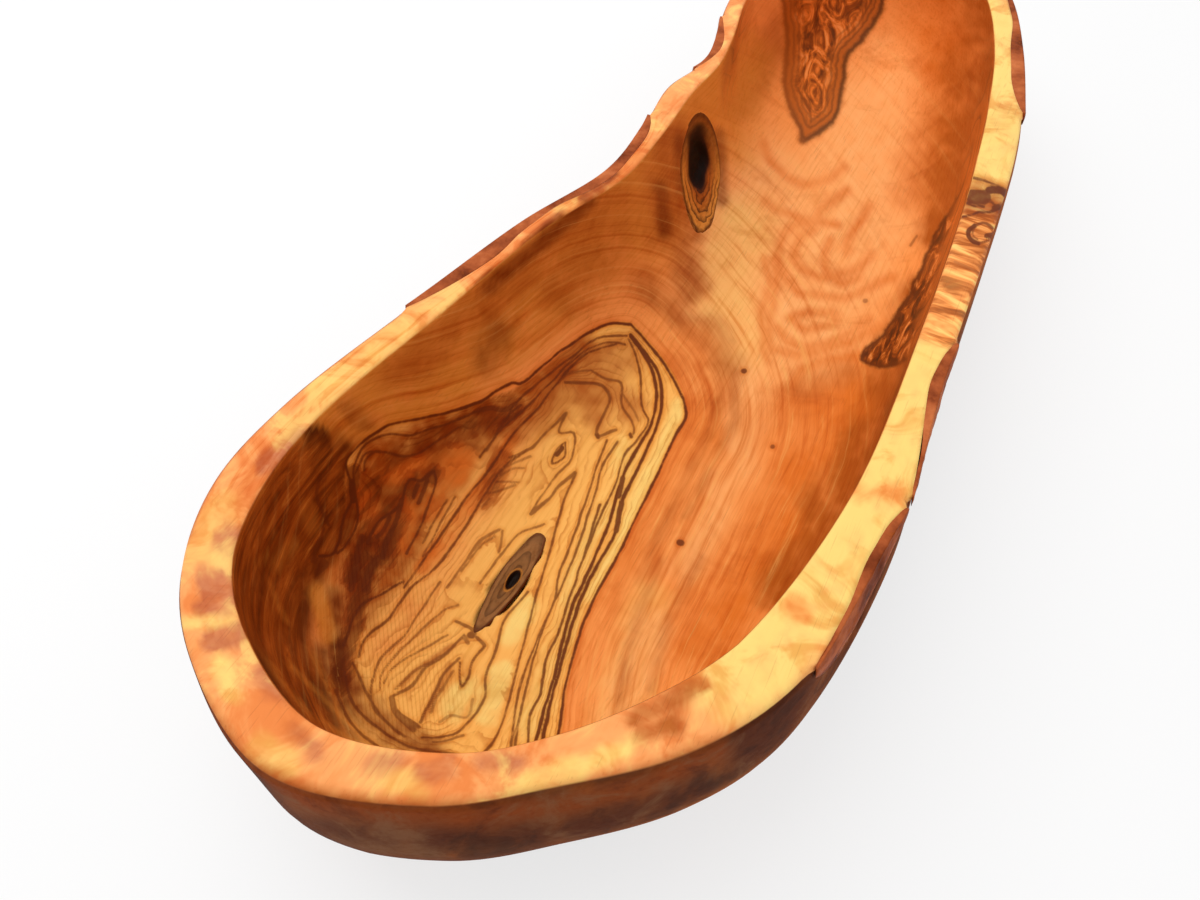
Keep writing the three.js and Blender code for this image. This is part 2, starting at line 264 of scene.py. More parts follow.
belly = BELLY_TUCK * np.maximum(0, -ribs.inward[:, 1]) - BELLY_OUT
for turn in np.linspace(UNDERSIDE_TURN, 0, UNDERSIDE_RINGS):
    run_share = (1 - math.cos(turn)) / (1 - math.cos(UNDERSIDE_TURN))
    fall_share = math.sin(turn) / math.sin(UNDERSIDE_TURN)
    run = belly + (ribs.reach - FOOT_HALF - belly) * run_share
    add_ring(run, (HEIGHT - BELLY_DROP) * (1 - fall_share), OUTSIDE)
for share in np.linspace(0, 1, SIDE_RINGS)[1:-1]:
    climb = (BELLY_DROP - ribs.drop) * share
    add_ring(belly * (1 - share**SIDE_BEND), HEIGHT - BELLY_DROP + climb, OUTSIDE)
for share in np.linspace(0, 1, CORNER_RINGS):
    turn = math.pi / 2 * share
    in_share = (1 - math.cos(turn)) * (1 - ribs.slanted) + share * ribs.slanted
    up_share = math.sin(turn) * (1 - ribs.slanted) + share * ribs.slanted
    add_ring(ribs.lean * in_share, HEIGHT - ribs.drop * (1 - up_share), RIM if share > 0.5 else OUTSIDE)
for share in np.linspace(0, 1, RIM_RINGS)[1:]:
    add_ring(ribs.lean + (ribs.width - MOUTH_ROUND - ribs.lean) * share, HEIGHT, RIM)
for turn in np.linspace(0, math.pi / 2, MOUTH_RINGS)[1:]:
    fall = MOUTH_ROUND * (1 - math.cos(turn))
    add_ring(ribs.width - MOUTH_ROUND * (1 - math.sin(turn)), HEIGHT - fall, INSIDE if turn > 1 else RIM)

wall_top = HEIGHT - MOUTH_ROUND
hollow_run = ribs.reach - ribs.width - FLOOR_HALF
turns = np.linspace(0, math.pi / 2, CURVE_STEPS)
in_curve = 1 - np.cos(turns) ** (2 / SQUARENESS)
down_curve = np.sin(turns) ** (2 / SQUARENESS)
girth = np.concatenate([[0], np.cumsum(np.hypot(np.diff(in_curve), np.diff(down_curve)))])
for way in np.linspace(0, girth[-1], WALL_RINGS)[1:]:
    fall = (wall_top - FLOOR) * np.interp(way, girth, down_curve)
    add_ring(ribs.width + hollow_run * np.interp(way, girth, in_curve), wall_top - fall, INSIDE)
for half in np.linspace(FLOOR_HALF, FLOOR_SLIT, FLOOR_RINGS)[1:]:
    add_ring(ribs.reach - half, FLOOR, INSIDE)
print("rings in the section:", len(rings))

# %% [markdown]
# ## One sheet, wrapped into a bowl
# The hollowed log is one skin. A flat grid has the right faces already: its columns become ribs and its
# rows become rings, so it is enough to move every grid point to its place, weld the seam and close the
# foot and the floor. Sawing and sanding by hand leave slow waves, which always go into the wood.

# %% Places of the skin's points
skin = np.zeros((len(rings), ribs.count, 3))
insets = np.array([ring[0] for ring in rings])
surfaces = np.array([ring[2] for ring in rings])
skin[..., :2] = ribs.start + insets[..., None] * ribs.inward
skin[..., 2] = np.array([ring[1] for ring in rings])
corners = skin.reshape(-1, 3)
PLAN_MIDDLE = (corners.min(0) + corners.max(0))[:2] / 2
skin[..., :2] -= PLAN_MIDDLE
print("middle of the plan in mm:", (1000 * PLAN_MIDDLE).round(2))

# %% Small hand-made waves in the outside and the hollow
WAVE_DEPTH = 0.7 * MM
WAVE_LENGTH = 30 * MM
EASE_IN_RINGS, EASE_OUT_RINGS = 10, 6


def waves_in(points, length):
    """Smooth unrepeating waves between 0 and 1 through space."""
    return np.array([0.5 + 0.5 * noise.noise(Vector(point) / length) for point in points])


depth = waves_in(skin.reshape(-1, 3), WAVE_LENGTH).reshape(skin.shape[:2]) * WAVE_DEPTH
into_wood = np.where(surfaces == OUTSIDE, 1.0, np.where(surfaces == INSIDE, -1.0, 0.0))
mouth_row = int(np.argmax(surfaces == INSIDE))
ease_in = np.clip((np.arange(len(rings)) - mouth_row) / EASE_IN_RINGS, 0, 1) * (surfaces == INSIDE)
ease_out = np.clip((np.arange(len(rings)) - 1) / EASE_OUT_RINGS, 0, 1) * (surfaces == OUTSIDE)
skin[..., :2] += ((ease_in + ease_out) * into_wood)[:, None, None] * depth[..., None] * ribs.inward

# %% Wrap the grid, weld the seam and close the ends
WELD_WITHIN = 0.001 * MM


def wrapped_grid(columns, rows, place):
    """bmesh of a grid whose point in a column and a row is moved to its place."""
    made = bmesh.new()
    bmesh.ops.create_grid(made, x_segments=columns, y_segments=rows, size=0.5)
    for point in made.verts:
        column = round((point.co.x + 0.5) * columns)
        row = round((point.co.y + 0.5) * rows)
        point.co = place(column, row)
    return made


def close_up(made):
    """Welds the seam, fills the open ends and turns all faces outwards."""
    bmesh.ops.remove_doubles(made, verts=made.verts, dist=WELD_WITHIN)
    open_edges = [edge for edge in made.edges if edge.is_boundary]
    caps = bmesh.ops.holes_fill(made, edges=open_edges)["faces"]
    bmesh.ops.triangulate(made, faces=caps)
    bmesh.ops.recalc_face_normals(made, faces=made.faces)


def keep_value(mesh, name, values):
    """Keeps one number for each point of a mesh, for its material to read."""
    layer = mesh.attributes.new(name, "FLOAT", "POINT")
    layer.data.foreach_set("value", np.asarray(values, np.float32))


def finish_piece(name, made, node_name):
    """Object of a finished bmesh, riding on the bowl in the place of a solid."""
    mesh = bpy.data.meshes.new(name)
    made.to_mesh(mesh)
    made.free()
    mesh.polygons.foreach_set("use_smooth", [True] * len(mesh.polygons))
    piece = bpy.data.objects.new(name, mesh)
    bpy.context.collection.objects.link(piece)
    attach(piece, "root")
    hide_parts(node_name)
    triangles = sum(len(face.vertices) - 2 for face in mesh.polygons)
    print(name, "has", triangles, "triangles")
    return piece


body = wrapped_grid(RIBS, len(rings) - 1, lambda column, row: skin[row, column])
travel_map = body.loops.layers.uv.new("skin")
ring_girth = np.linalg.norm(np.diff(skin, axis=0), axis=2).mean(axis=1)
ring_girth = np.concatenate([[0], np.cumsum(ring_girth)])
STRIP = RIBS + 1
body.verts.index_update()
row_of = [index // STRIP for index in range(len(body.verts))]
surface_layer = body.verts.layers.int.new("surface")
for point in body.verts:
    point[surface_layer] = int(surfaces[row_of[point.index]])
for face in body.faces:
    for corner in face.loops:
        row, column = divmod(corner.vert.index, STRIP)
        corner[travel_map].uv = (ribs.travel[column], ring_girth[row])
close_up(body)
surface_tree = BVHTree.FromBMesh(body)
print("skin points:", len(body.verts))

# %% [markdown]
# ## Dead knots
# Two branches died inside the log. Their knots are dark plugs of harder wood with rings of their own and
# a rotten pocket. Each one is a round sheet, a grid wrapped to polar shape, laid on the skin where the
# picture shows the knot, given its rings and its pocket, and made solid. The skin is sunk under it.

# %% Where the knots are
KNOT_PLANS = {
    "knot_wall": SimpleNamespace(
        middle=(701, 174), top=(700, 115), half_wide=20, taper=0.85, ragged=0.07, rings=5, twist=0.2,
        pocket_at=(-0.1, 0.32), pocket_size=(0.82, 0.68), pocket_deep=2.4 * MM,
    ),
    "knot_floor": SimpleNamespace(
        middle=(509, 582), top=(543, 533), half_wide=13, taper=0.75, ragged=0.1, rings=3, twist=0.8,
        pocket_at=(0.1, 0.08), pocket_size=(0.5, 0.24), pocket_deep=1.6 * MM,
    ),
}


def smooth_step(low, high, value):
    share = np.clip((value - low) / (high - low), 0, 1)
    return share * share * (3 - 2 * share)


def on_skin(pixel):
    """Place and normal of the skin that shows at a pixel of the photograph."""
    aside = (pixel[0] - PHOTO_WIDE / 2) / FOCAL_PX
    up = (PHOTO_HIGH / 2 - pixel[1]) / FOCAL_PX
    hit, normal, _, _ = surface_tree.ray_cast(EYE, (look + rightward * aside + upward * up).normalized())
    return hit, normal


for name, plan in KNOT_PLANS.items():
    plan.middle = np.array(plan.middle, float)
    plan.upright = np.array(plan.top, float) - plan.middle
    plan.side = np.array([-plan.upright[1], plan.upright[0]])
    plan.side *= plan.half_wide / np.linalg.norm(plan.side)
    plan.spot, plan.axis = on_skin(plan.middle)
    low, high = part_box(name)
    apart = plan.spot - (low + high) / 2
    print(name, "lies in mm from the middle of its solid:", [round(1000 * v, 1) for v in apart])

# %% Sink the skin under the knots
KNOT_SINK = 5.5 * MM
KNOT_SINK_EDGE = 0.75


def knot_taper(plan, upwards):
    """Share of a knot's width that is left at a height; its lower end runs out thin."""
    return plan.taper + (1 - plan.taper) * smooth_step(-1, 0.15, upwards)


def knot_place(plan, places):
    """Sideways and upright place of pixels in a knot, 1 at its edge."""
    rays = places - plan.middle
    upwards = rays @ plan.upright / (plan.upright @ plan.upright)
    return rays @ plan.side / (plan.side @ plan.side) / knot_taper(plan, upwards), upwards


pixels = in_photo(np.array([point.co for point in body.verts]))
inside = np.array([point[surface_layer] == INSIDE for point in body.verts])
body.verts.ensure_lookup_table()
for name, plan in KNOT_PLANS.items():
    radius = np.hypot(*knot_place(plan, pixels))
    sink = KNOT_SINK * smooth_step(1, KNOT_SINK_EDGE, radius)
    for index in np.flatnonzero(inside & (radius < 1)):
        body.verts[index].co -= plan.axis * sink[index]
    print(name, "sinks", int((inside & (radius < 1)).sum()), "points of the skin")

# %% Knot plugs
KNOT_AROUND, KNOT_STEPS = 96, 40
KNOT_OVER = 1.06
KNOT_PROUD = 0.12 * MM
KNOT_TUCK = 0.6 * MM
KNOT_THICK = 1.4 * MM
RING_DEEP = 0.22 * MM
POCKET_RAGGED, POCKET_WAVES = 0.35, (1.3, 2.5)
POCKET_FLOOR = 0.35
EDGE_WAVES, RING_WAVES, KNOT_GRAIN = 1.6, 150, 400


def knot_piece(name):
    """Plug of a dead knot: rings of growth, and a pocket at a place given in half widths and heights."""
    plan = KNOT_PLANS[name]

    def in_pocket(sideways, upwards):
        spot = np.array([sideways, upwards])
        away = (spot - plan.pocket_at) / plan.pocket_size
        ragged = POCKET_RAGGED * noise.noise(Vector((*spot * POCKET_WAVES, plan.twist)))
        return float(smooth_step(1, POCKET_FLOOR, math.hypot(*away) + ragged))

    def place(column, row):
        angle = 2 * math.pi * column / KNOT_AROUND
        radius = KNOT_OVER * row / KNOT_STEPS
        on_edge = Vector((math.cos(angle), math.sin(angle), plan.twist))
        wobble = 1 + plan.ragged * noise.noise(on_edge * EDGE_WAVES)
        sideways, upwards = radius * math.cos(angle) * wobble, radius * math.sin(angle) * wobble
        drawn_in = sideways * knot_taper(plan, upwards)
        hit, _ = on_skin(plan.middle + drawn_in * plan.side + upwards * plan.upright)
        rings_here = math.sin(2 * math.pi * plan.rings * radius + 2 * noise.noise(hit * RING_WAVES))
        rough = noise.fractal(hit * KNOT_GRAIN, 1, 2, 3)
        lift = KNOT_PROUD - RING_DEEP * (1 + rings_here + 0.6 * rough) * 0.5 * (radius < 0.97)
        lift -= plan.pocket_deep * in_pocket(sideways, upwards)
        lift -= KNOT_TUCK * float(smooth_step(0.99, KNOT_OVER, radius))
        return hit + plan.axis * lift

    plug = wrapped_grid(KNOT_AROUND, KNOT_STEPS, place)
    bmesh.ops.remove_doubles(plug, verts=plug.verts, dist=WELD_WITHIN)
    bmesh.ops.recalc_face_normals(plug, faces=plug.faces)
    facing = sum((face.normal for face in plug.faces), Vector()).dot(plan.axis)
    if facing < 0:
        bmesh.ops.reverse_faces(plug, faces=plug.faces)
    bmesh.ops.solidify(plug, geom=plug.faces[:], thickness=KNOT_THICK)
    bmesh.ops.recalc_face_normals(plug, faces=plug.faces)
    piece = finish_piece(name + "_plug", plug, name)
    spots = np.array([point.co for point in piece.data.vertices])
    sideways, upwards = knot_place(plan, in_photo(spots))
    keep_value(piece.data, "radius", np.hypot(sideways, upwards))
    keep_value(piece.data, "upright", upwards)
    keep_value(piece.data, "pocket", [in_pocket(*spot) for spot in zip(sideways, upwards)])
    return piece


wall_knot = knot_piece("knot_wall")
floor_knot = knot_piece("knot_floor")

# %% [markdown]
# ## Bark left on the edge
# A strip of bark fills the slanting seat at the wood's outer corner. Its section is a closed loop: up the
# seat, out over the rim, down the weathered face. The loop is carried along the ribs of one strip, again
# as a wrapped grid, and the weathered face gets its ridges and pits as real shape.

# %% Bark strips
BARK_STEP = 0.7 * MM
BARK_SHOWN = 0.2
BARK_CROWN = 0.8 * MM
BARK_PIT = 0.55 * MM
BARK_GAP = 0.06 * MM
PIT_SCALE, GRIT_SCALE, GRIT_SHARE = 90, 260, 0.6
PIT_LIFT, PIT_MOST = 0.7, 1.6
TOP_DENT = 0.25  # share of a dent that also sinks the top of the strip
SEAT_STEPS, TOP_STEPS, FACE_STEPS, FOOT_STEPS = 6, 7, 18, 6


def bark_loop(lean_in, drop_in, lean, drop, cover):
    """Closed section of a strip: inset, height and how weathered each point is."""
    legs = [
        ((0, HEIGHT - drop_in), (lean_in, HEIGHT), SEAT_STEPS, 0, 0),
        ((lean_in, HEIGHT), (lean, HEIGHT), TOP_STEPS, 0, 0.3),
        ((lean, HEIGHT), (0, HEIGHT - drop), FACE_STEPS, BARK_CROWN * cover, 1),
        ((0, HEIGHT - drop), (0, HEIGHT - drop_in), FOOT_STEPS, 0, 0.5),
    ]
    for begin, stop, steps, crown, rough in legs:
        for step in range(steps):
            share = step / steps
            swell = crown * math.sin(math.pi * share)
            edge = math.sin(math.pi * share) ** 0.5 if rough == 1 else 1
            inset = begin[0] + (stop[0] - begin[0]) * share - swell
            height = begin[1] + (stop[1] - begin[1]) * share
            yield inset, height, rough * edge


def bark_piece(name):
    """One strip of bark on the ribs that carry it."""
    right, begin, stop = BARK_STRIPS[name][:3]
    everywhere = ribs_at(np.arange(0, RIM_AROUND, BARK_STEP))
    on_strip = (everywhere.right == right) & (everywhere.along > begin) & (everywhere.along < stop)
    strip = ribs_at(everywhere.travel[on_strip & (everywhere.cover > BARK_SHOWN)])
    sections = []
    for index in range(strip.count):
        cover = strip.cover[index]
        lean = min(strip.round[index] + cover * BARK_LEAN, strip.lean[index] - BARK_GAP)
        drop = strip.round[index] + cover * BARK_DROP
        section = []
        loop = bark_loop(strip.lean[index] - BARK_GAP, strip.drop[index], lean, drop, cover)
        for inset, height, rough in loop:
            way = strip.start[index] + strip.inward[index] * inset - PLAN_MIDDLE
            spot = Vector((way[0], way[1], height))
            pits = noise.fractal(spot * PIT_SCALE, 0.9, 2.1, 4)
            pits += GRIT_SHARE * abs(noise.noise(spot * GRIT_SCALE))
            dent = rough * BARK_PIT * cover * min(PIT_MOST, max(0, PIT_LIFT + pits))
            way = way + strip.inward[index] * dent
            sunk = TOP_DENT * dent if rough < 0.4 else 0
            section.append(Vector((way[0], way[1], height - sunk)))
        sections.append(section)
    around = len(sections[0])
    strip_mesh = wrapped_grid(around, strip.count - 1, lambda column, row: sections[row][column % around])
    close_up(strip_mesh)
    return finish_piece(name + "_strip", strip_mesh, name)


bark_strips = [bark_piece(name) for name in BARK_STRIPS]

# %% [markdown]
# ## The wood's figure
# Olive wood is known by its figure: a pale heart ringed by dark growth lines, burls, stains and streaks.
# They are marks in one log, so they belong to the skin and not to the light. Each one is drawn as
# a way in pixels of the photograph, and the camera's pinhole carries it on to the skin.

# %% Outlines of the large marks, in pixels of the photograph
HEART_OUTLINE = [
    (630, 323), (649, 342), (674, 375), (685, 413), (667, 451), (646, 496), (624, 541), (604, 580),
    (579, 632), (566, 687), (556, 760), (546, 840), (430, 840), (372, 775), (345, 715), (338, 660),
    (334, 600), (338, 555), (345, 510), (345, 475), (353, 450), (384, 428), (440, 415), (485, 400),
    (521, 385), (553, 361), (583, 337), (605, 326),
]
BURL_OUTLINE = [
    (778, -30), (783, 30), (782, 90), (795, 125), (801, 144), (818, 137), (838, 118), (846, 85),
    (850, 58), (868, 38), (884, 10), (890, -30), (876, -62), (838, -78), (796, -66),
]
WALL_STREAK = [
    (972, 170), (957, 199), (945, 217), (934, 236), (915, 279), (888, 325), (860, 358), (874, 368),
    (905, 362), (934, 320), (952, 285), (968, 250), (982, 205), (984, 180),
]
OUTLINE_SPAN_STEPS, LINE_SPAN_STEPS, MAP_SPAN_STEPS = 6, 4, 16


def way_distance(places, way):
    """Distance to a polyline."""
    nearest = np.full(len(places), np.inf)
    for begin, stop in zip(np.array(way[:-1], float), np.array(way[1:], float)):
        edge = stop - begin
        share = np.clip((places - begin) @ edge / (edge @ edge), 0, 1)
        nearest = np.minimum(nearest, np.linalg.norm(places - begin - share[:, None] * edge, axis=1))
    return nearest


def signed_distance(places, outline):
    """Distance to a closed outline drawn as a smooth curve, above 0 inside it."""
    way = smooth_curve(outline, True, OUTLINE_SPAN_STEPS)
    crossings = np.zeros(len(places), int)
    for begin, stop in zip(way[:-1], way[1:]):
        spans = (begin[1] > places[:, 1]) != (stop[1] > places[:, 1])
        rise = stop[1] - begin[1] or 1
        crossed_at = begin[0] + (places[:, 1] - begin[1]) * (stop[0] - begin[0]) / rise
        crossings += spans & (places[:, 0] < crossed_at)
    return np.where(crossings % 2 == 1, 1, -1) * way_distance(places, way)


print("outlines:", len(HEART_OUTLINE), len(BURL_OUTLINE), len(WALL_STREAK), "points")

# %% [markdown]
# The lines of the heart are drawn one by one, as a carver would pencil them: growth level, half width in
# pixels, how dark, and the way. They start at the heart's tip and run down its right limb, round its eyes
# and loops, along the stained left side and round the foot of the figure. The level says how many years
# of growth lie between a line and the outline. Lines away from the heart have no level.

# %% Growth lines of the heart: level, half width, darkness and way
RIGHT_LIMB = [
    (0, 1.2, 0.95, [(631, 324), (649, 345), (665, 365), (676, 385), (686, 413), (676, 435), (662, 464),
                    (635, 520), (615, 560), (593, 600), (578, 640), (567, 680), (560, 720), (548, 830)]),
    (1, 1.6, 0.95, [(631, 335), (645, 353), (659, 375), (662, 405), (654, 432), (642, 460), (623, 500),
                    (612, 540), (589, 580), (574, 620), (562, 660), (551, 700), (542, 742), (528, 830)]),
    (1.3, 2.8, 0.9, [(622, 503), (616, 530)]),
    (1.6, 1.6, 0.95, [(631, 337), (648, 362), (656, 385), (657, 400), (649, 428), (634, 454), (622, 480),
                      (610, 520), (594, 560), (575, 600), (563, 640), (553, 680), (541, 720), (518, 830)]),
    (1.6, 2.6, 0.9, [(623, 478), (619, 496)]),
    (2.2, 1.0, 0.85, [(629, 340), (636, 357), (641, 380), (643, 410), (648, 420), (637, 440), (625, 455),
                      (617, 480), (599, 520), (583, 560)]),
    (2.7, 1.2, 0.85, [(600, 505), (589, 540), (569, 600), (558, 635), (546, 660), (540, 694), (530, 716),
                      (528, 744), (520, 800)]),
    (3.2, 1.1, 0.8, [(618, 442), (603, 465), (593, 500), (580, 540), (564, 580), (546, 622), (533, 660),
                     (524, 700), (516, 737), (514, 790)]),
    (3.6, 1.1, 0.8, [(607, 440), (597, 465), (586, 500), (572, 540), (557, 580), (555, 600), (537, 640),
                     (522, 680), (514, 720), (508, 790)]),
    (4.4, 1.0, 0.8, [(575, 474), (564, 500), (553, 540), (541, 580), (529, 622), (519, 660), (509, 700),
                     (496, 737), (484, 752)]),
]
EYES_AND_LOOPS = [
    (5, 0.9, 0.9, [(565, 442), (556, 451), (552, 464), (564, 457), (565, 442)]),
    (5.2, 2.4, 0.9, [(562, 448), (557, 455)]),
    (4.5, 1.0, 0.75, [(566, 413), (559, 432), (574, 433), (572, 457), (553, 479), (530, 514)]),
    (4.2, 1.2, 0.7, [(566, 413), (543, 436), (531, 448), (509, 458)]),
    (4.6, 1.6, 0.7, [(575, 473), (559, 486), (549, 499), (531, 514)]),
    (4.2, 1.3, 0.7, [(565, 382), (583, 383), (602, 386), (610, 398), (603, 416), (597, 436), (616, 430)]),
    (4.2, 2.2, 0.85, [(597, 435), (598, 437)]),
    (3.4, 1.0, 0.65, [(591, 370), (606, 379), (621, 383), (621, 404), (630, 418), (634, 432), (630, 435)]),
    (3.5, 2.0, 0.85, [(630, 434), (631, 436)]),
    (2.9, 0.8, 0.45, [(621, 392), (634, 410), (638, 421)]),
    (4.5, 1.0, 0.7, [(544, 524), (520, 533), (503, 552), (480, 583)]),
    (4.3, 1.3, 0.6, [(499, 530), (481, 540), (463, 565), (447, 588)]),
    (4.3, 1.0, 0.6, [(502, 531), (501, 543), (498, 553)]),
    (4.4, 0.9, 0.55, [(495, 537), (482, 545), (461, 572)]),
]
TIP_AND_STAIN = [
    (0, 1.3, 0.95, [(631, 324), (608, 324), (580, 338), (540, 368), (520, 384), (512, 383), (479, 402),
                    (441, 414), (390, 425), (364, 441), (347, 460), (347, 470), (353, 494), (344, 517),
                    (338, 543), (332, 554), (320, 556)]),
    (0.2, 3.0, 0.95, [(352, 482), (353, 500)]),
    (0.9, 1.0, 0.8, [(627, 336), (597, 338), (568, 360), (539, 382), (515, 404), (508, 418)]),
    (1.6, 1.0, 0.8, [(625, 345), (610, 342), (583, 352), (553, 380), (524, 410), (499, 432), (480, 457)]),
    (2.2, 1.1, 0.85, [(616, 344), (586, 354), (562, 377), (539, 407), (515, 432), (490, 468), (467, 497),
                      (446, 528), (420, 565), (404, 588)]),
    (2.8, 0.9, 0.6, [(591, 370), (568, 374), (543, 401)]),
    (1.1, 2.2, 0.6, [(479, 410), (490, 408), (505, 410), (515, 404)]),
    (1.8, 0.9, 0.7, [(521, 405), (504, 421), (486, 451)]),
    (0.8, 1.0, 0.85, [(479, 410), (452, 422), (423, 431), (410, 436), (390, 434), (366, 444), (354, 467),
                      (356, 497), (357, 522), (344, 548), (337, 553)]),
    (1.6, 1.0, 0.75, [(459, 427), (433, 444), (410, 456), (387, 453), (366, 453), (356, 473)]),
    (2, 0.9, 0.7, [(377, 451), (369, 456), (364, 464), (364, 471)]),
    (2.1, 1.3, 0.8, [(435, 471), (421, 480), (410, 480), (398, 507), (378, 522), (367, 543)]),
    (2.3, 1.2, 0.8, [(435, 471), (436, 482), (429, 503), (420, 528), (407, 553)]),
    (2.2, 2.0, 0.75, [(427, 480), (418, 503)]),
    (2.2, 2.0, 0.75, [(417, 485), (413, 497)]),
    (2.2, 2.4, 0.75, [(401, 500), (398, 516), (386, 543), (383, 557)]),
    (2.1, 1.8, 0.75, [(390, 517), (383, 531), (377, 537)]),
    (1.2, 3.0, 0.6, [(361, 537), (354, 574), (351, 589)]),
    (1.6, 4.0, 0.55, [(377, 559), (369, 574), (366, 589)]),
]
LEFT_LIMB_AND_FOOT = [
    (3, 1.2, 0.8, [(527, 450), (504, 467), (482, 499), (461, 534), (435, 568), (410, 589), (389, 618),
                   (365, 639), (359, 657)]),
    (2.5, 0.9, 0.7, [(455, 497), (438, 528), (423, 556)]),
    (2.4, 0.9, 0.7, [(447, 500), (430, 528), (423, 543)]),
    (2.4, 1.2, 0.85, [(403, 582), (383, 593), (360, 607), (349, 629), (344, 645)]),
    (3.5, 1.1, 0.7, [(440, 582), (421, 610), (403, 637), (381, 658), (371, 685), (371, 694)]),
    (4, 1.0, 0.6, [(459, 605), (443, 611), (419, 633), (392, 659), (380, 677), (380, 690)]),
    (4.5, 1.0, 0.65, [(448, 635), (419, 651), (392, 669), (384, 683)]),
    (5, 1.5, 0.7, [(464, 635), (447, 653), (427, 667), (412, 686), (392, 698), (396, 710), (419, 727)]),
    (5.1, 1.2, 0.55, [(440, 657), (413, 673), (395, 689)]),
    (5.6, 1.4, 0.7, [(459, 658), (444, 673), (433, 697), (420, 722)]),
    (5.7, 1.2, 0.55, [(453, 671), (437, 698), (431, 713)]),
    (5.4, 1.1, 0.8, [(460, 662), (460, 679), (462, 687), (469, 677), (472, 663), (485, 646)]),
    (4.6, 1.1, 0.8, [(528, 592), (504, 621), (497, 647), (485, 679), (485, 697), (468, 723), (453, 735),
                     (421, 738)]),
    (5.4, 1.2, 0.45, [(473, 699), (467, 718), (452, 715), (440, 722)]),
    (4.2, 1.0, 0.65, [(464, 735), (447, 741), (433, 742)]),
    (3.8, 1.2, 0.7, [(353, 663), (367, 694), (387, 723), (400, 734)]),
    (4, 1.1, 0.65, [(371, 681), (373, 707), (391, 726), (405, 737)]),
    (4.4, 3.0, 0.6, [(392, 698), (395, 711), (413, 729)]),
    (3.6, 1.3, 0.7, [(343, 670), (354, 705), (376, 726), (408, 746), (470, 757)]),
    (3, 1.3, 0.7, [(336, 690), (350, 722), (380, 748), (410, 762)]),
]
HEART_LINES = RIGHT_LIMB + EYES_AND_LOOPS + TIP_AND_STAIN + LEFT_LIMB_AND_FOOT
OTHER_LINES = [  # half width, darkness and way
    (1.3, 0.6, [(320, 476), (317, 498), (329, 525)]),
    (1.3, 0.6, [(324, 528), (318, 543), (314, 556)]),
    (1.2, 0.5, [(340, 455), (330, 470), (322, 480)]),
    (3.2, 0.55, [(313, 560), (326, 564), (317, 572)]),
    (1.5, 0.7, [(456, 622), (472, 629), (475, 633)]),
    (3.0, 0.8, [(470, 635), (472, 635)]),
    (1.5, 0.7, [(477, 637), (484, 645)]),
    (2.0, 0.55, [(465, 638), (468, 643)]),
    (2.2, 0.85, [(743, 371), (744, 371)]),
    (3.0, 0.85, [(680, 543), (681, 543)]),
    (1.7, 0.7, [(772, 447), (773, 447)]),
    (2.0, 0.5, [(865, 301), (866, 301)]),
    (1.2, 0.5, [(910, 245), (917, 236)]),
]
FEATHERS = [
    [(499, 470), (510, 465), (530, 457)], [(499, 476), (515, 468), (524, 468)],
    [(496, 482), (507, 482), (519, 482)], [(487, 494), (499, 491), (515, 485)], [(482, 507), (490, 499)],
]
FEATHER_HALF, FEATHER_DARK = 1.1, 0.5
OTHER_LINES += [(FEATHER_HALF, FEATHER_DARK, way) for way in FEATHERS]
RIM_LINES = [  # half width, darkness and way
    (1.0, 0.85, [(973, 177), (985, 181), (998, 186), (1007, 191), (1010, 200)]),
    (7.0, 0.85, [(973, 197), (984, 197)]),
    (3.6, 0.95, [(990, 190), (1000, 190), (1006, 194)]),
    (1.4, 0.9, [(967, 203), (974, 206), (984, 206)]),
    (1.0, 0.75, [(986, 203), (990, 201), (995, 205)]),
    (3.0, 0.85, [(995, 208), (999, 207)]),
    (1.3, 0.9, [(962, 217), (972, 215), (980, 212), (990, 212), (999, 209)]),
    (0.9, 0.6, [(1000, 203), (1007, 213)]),
    (2.4, 0.95, [(975, 225), (969, 230), (968, 235), (972, 240), (979, 243)]),
    (1.2, 0.8, [(979, 243), (987, 241), (994, 238), (999, 236)]),
    (2.6, 0.9, [(987, 236), (992, 235), (998, 234)]),
    (1.6, 0.85, [(975, 225), (982, 223), (987, 224), (992, 228)]),
    (1.0, 0.7, [(974, 229), (973, 235), (978, 239)]),
    (1.2, 0.5, [(955, 262), (970, 268), (982, 278)]),
]
LINE_WAVER = 1.0
LINE_WAVER_LENGTH = 15
WAVER_SEED = 5  # fixes where the vector noise is read, for the same result each run
NO_LINE = -20

noise.seed_set(WAVER_SEED)


def wavered(spots, amount, length):
    """Pixels moved a little by smooth waves, so that drawn lines lose their even hand."""
    moves = [noise.noise_vector(Vector((*spot, 0)) / length)[:2] for spot in spots]
    return spots + amount * np.array(moves)


def lines_at(pixels, on_surface):
    """How far inside the nearest drawn line each point lies, in pixels, and how dark that line is."""
    line_edge, line_dark = np.full(len(pixels), float(NO_LINE)), np.zeros(len(pixels))
    inside_lines = [line[1:] for line in HEART_LINES] + OTHER_LINES
    for surface, lines in ((INSIDE, inside_lines), (RIM, RIM_LINES)):
        there = on_surface == surface
        spots = wavered(pixels[there], LINE_WAVER, LINE_WAVER_LENGTH)
        for half, dark, way in lines:
            within = half - way_distance(spots, smooth_curve(way, False, LINE_SPAN_STEPS))
            nearer = within > line_edge[there]
            line_edge[there] = np.where(nearer, within, line_edge[there])
            line_dark[there] = np.where(nearer, dark, line_dark[there])
    return line_edge, line_dark


print("drawn lines:", len(HEART_LINES) + len(OTHER_LINES) + len(RIM_LINES))

# %% [markdown]
# A line is only as sharp as the mesh that carries it, so the skin is split again and again until no edge
# is longer, as the camera sees it, than its place allows: shortest along the drawn lines, longer between
# them and longest on the plain outside.

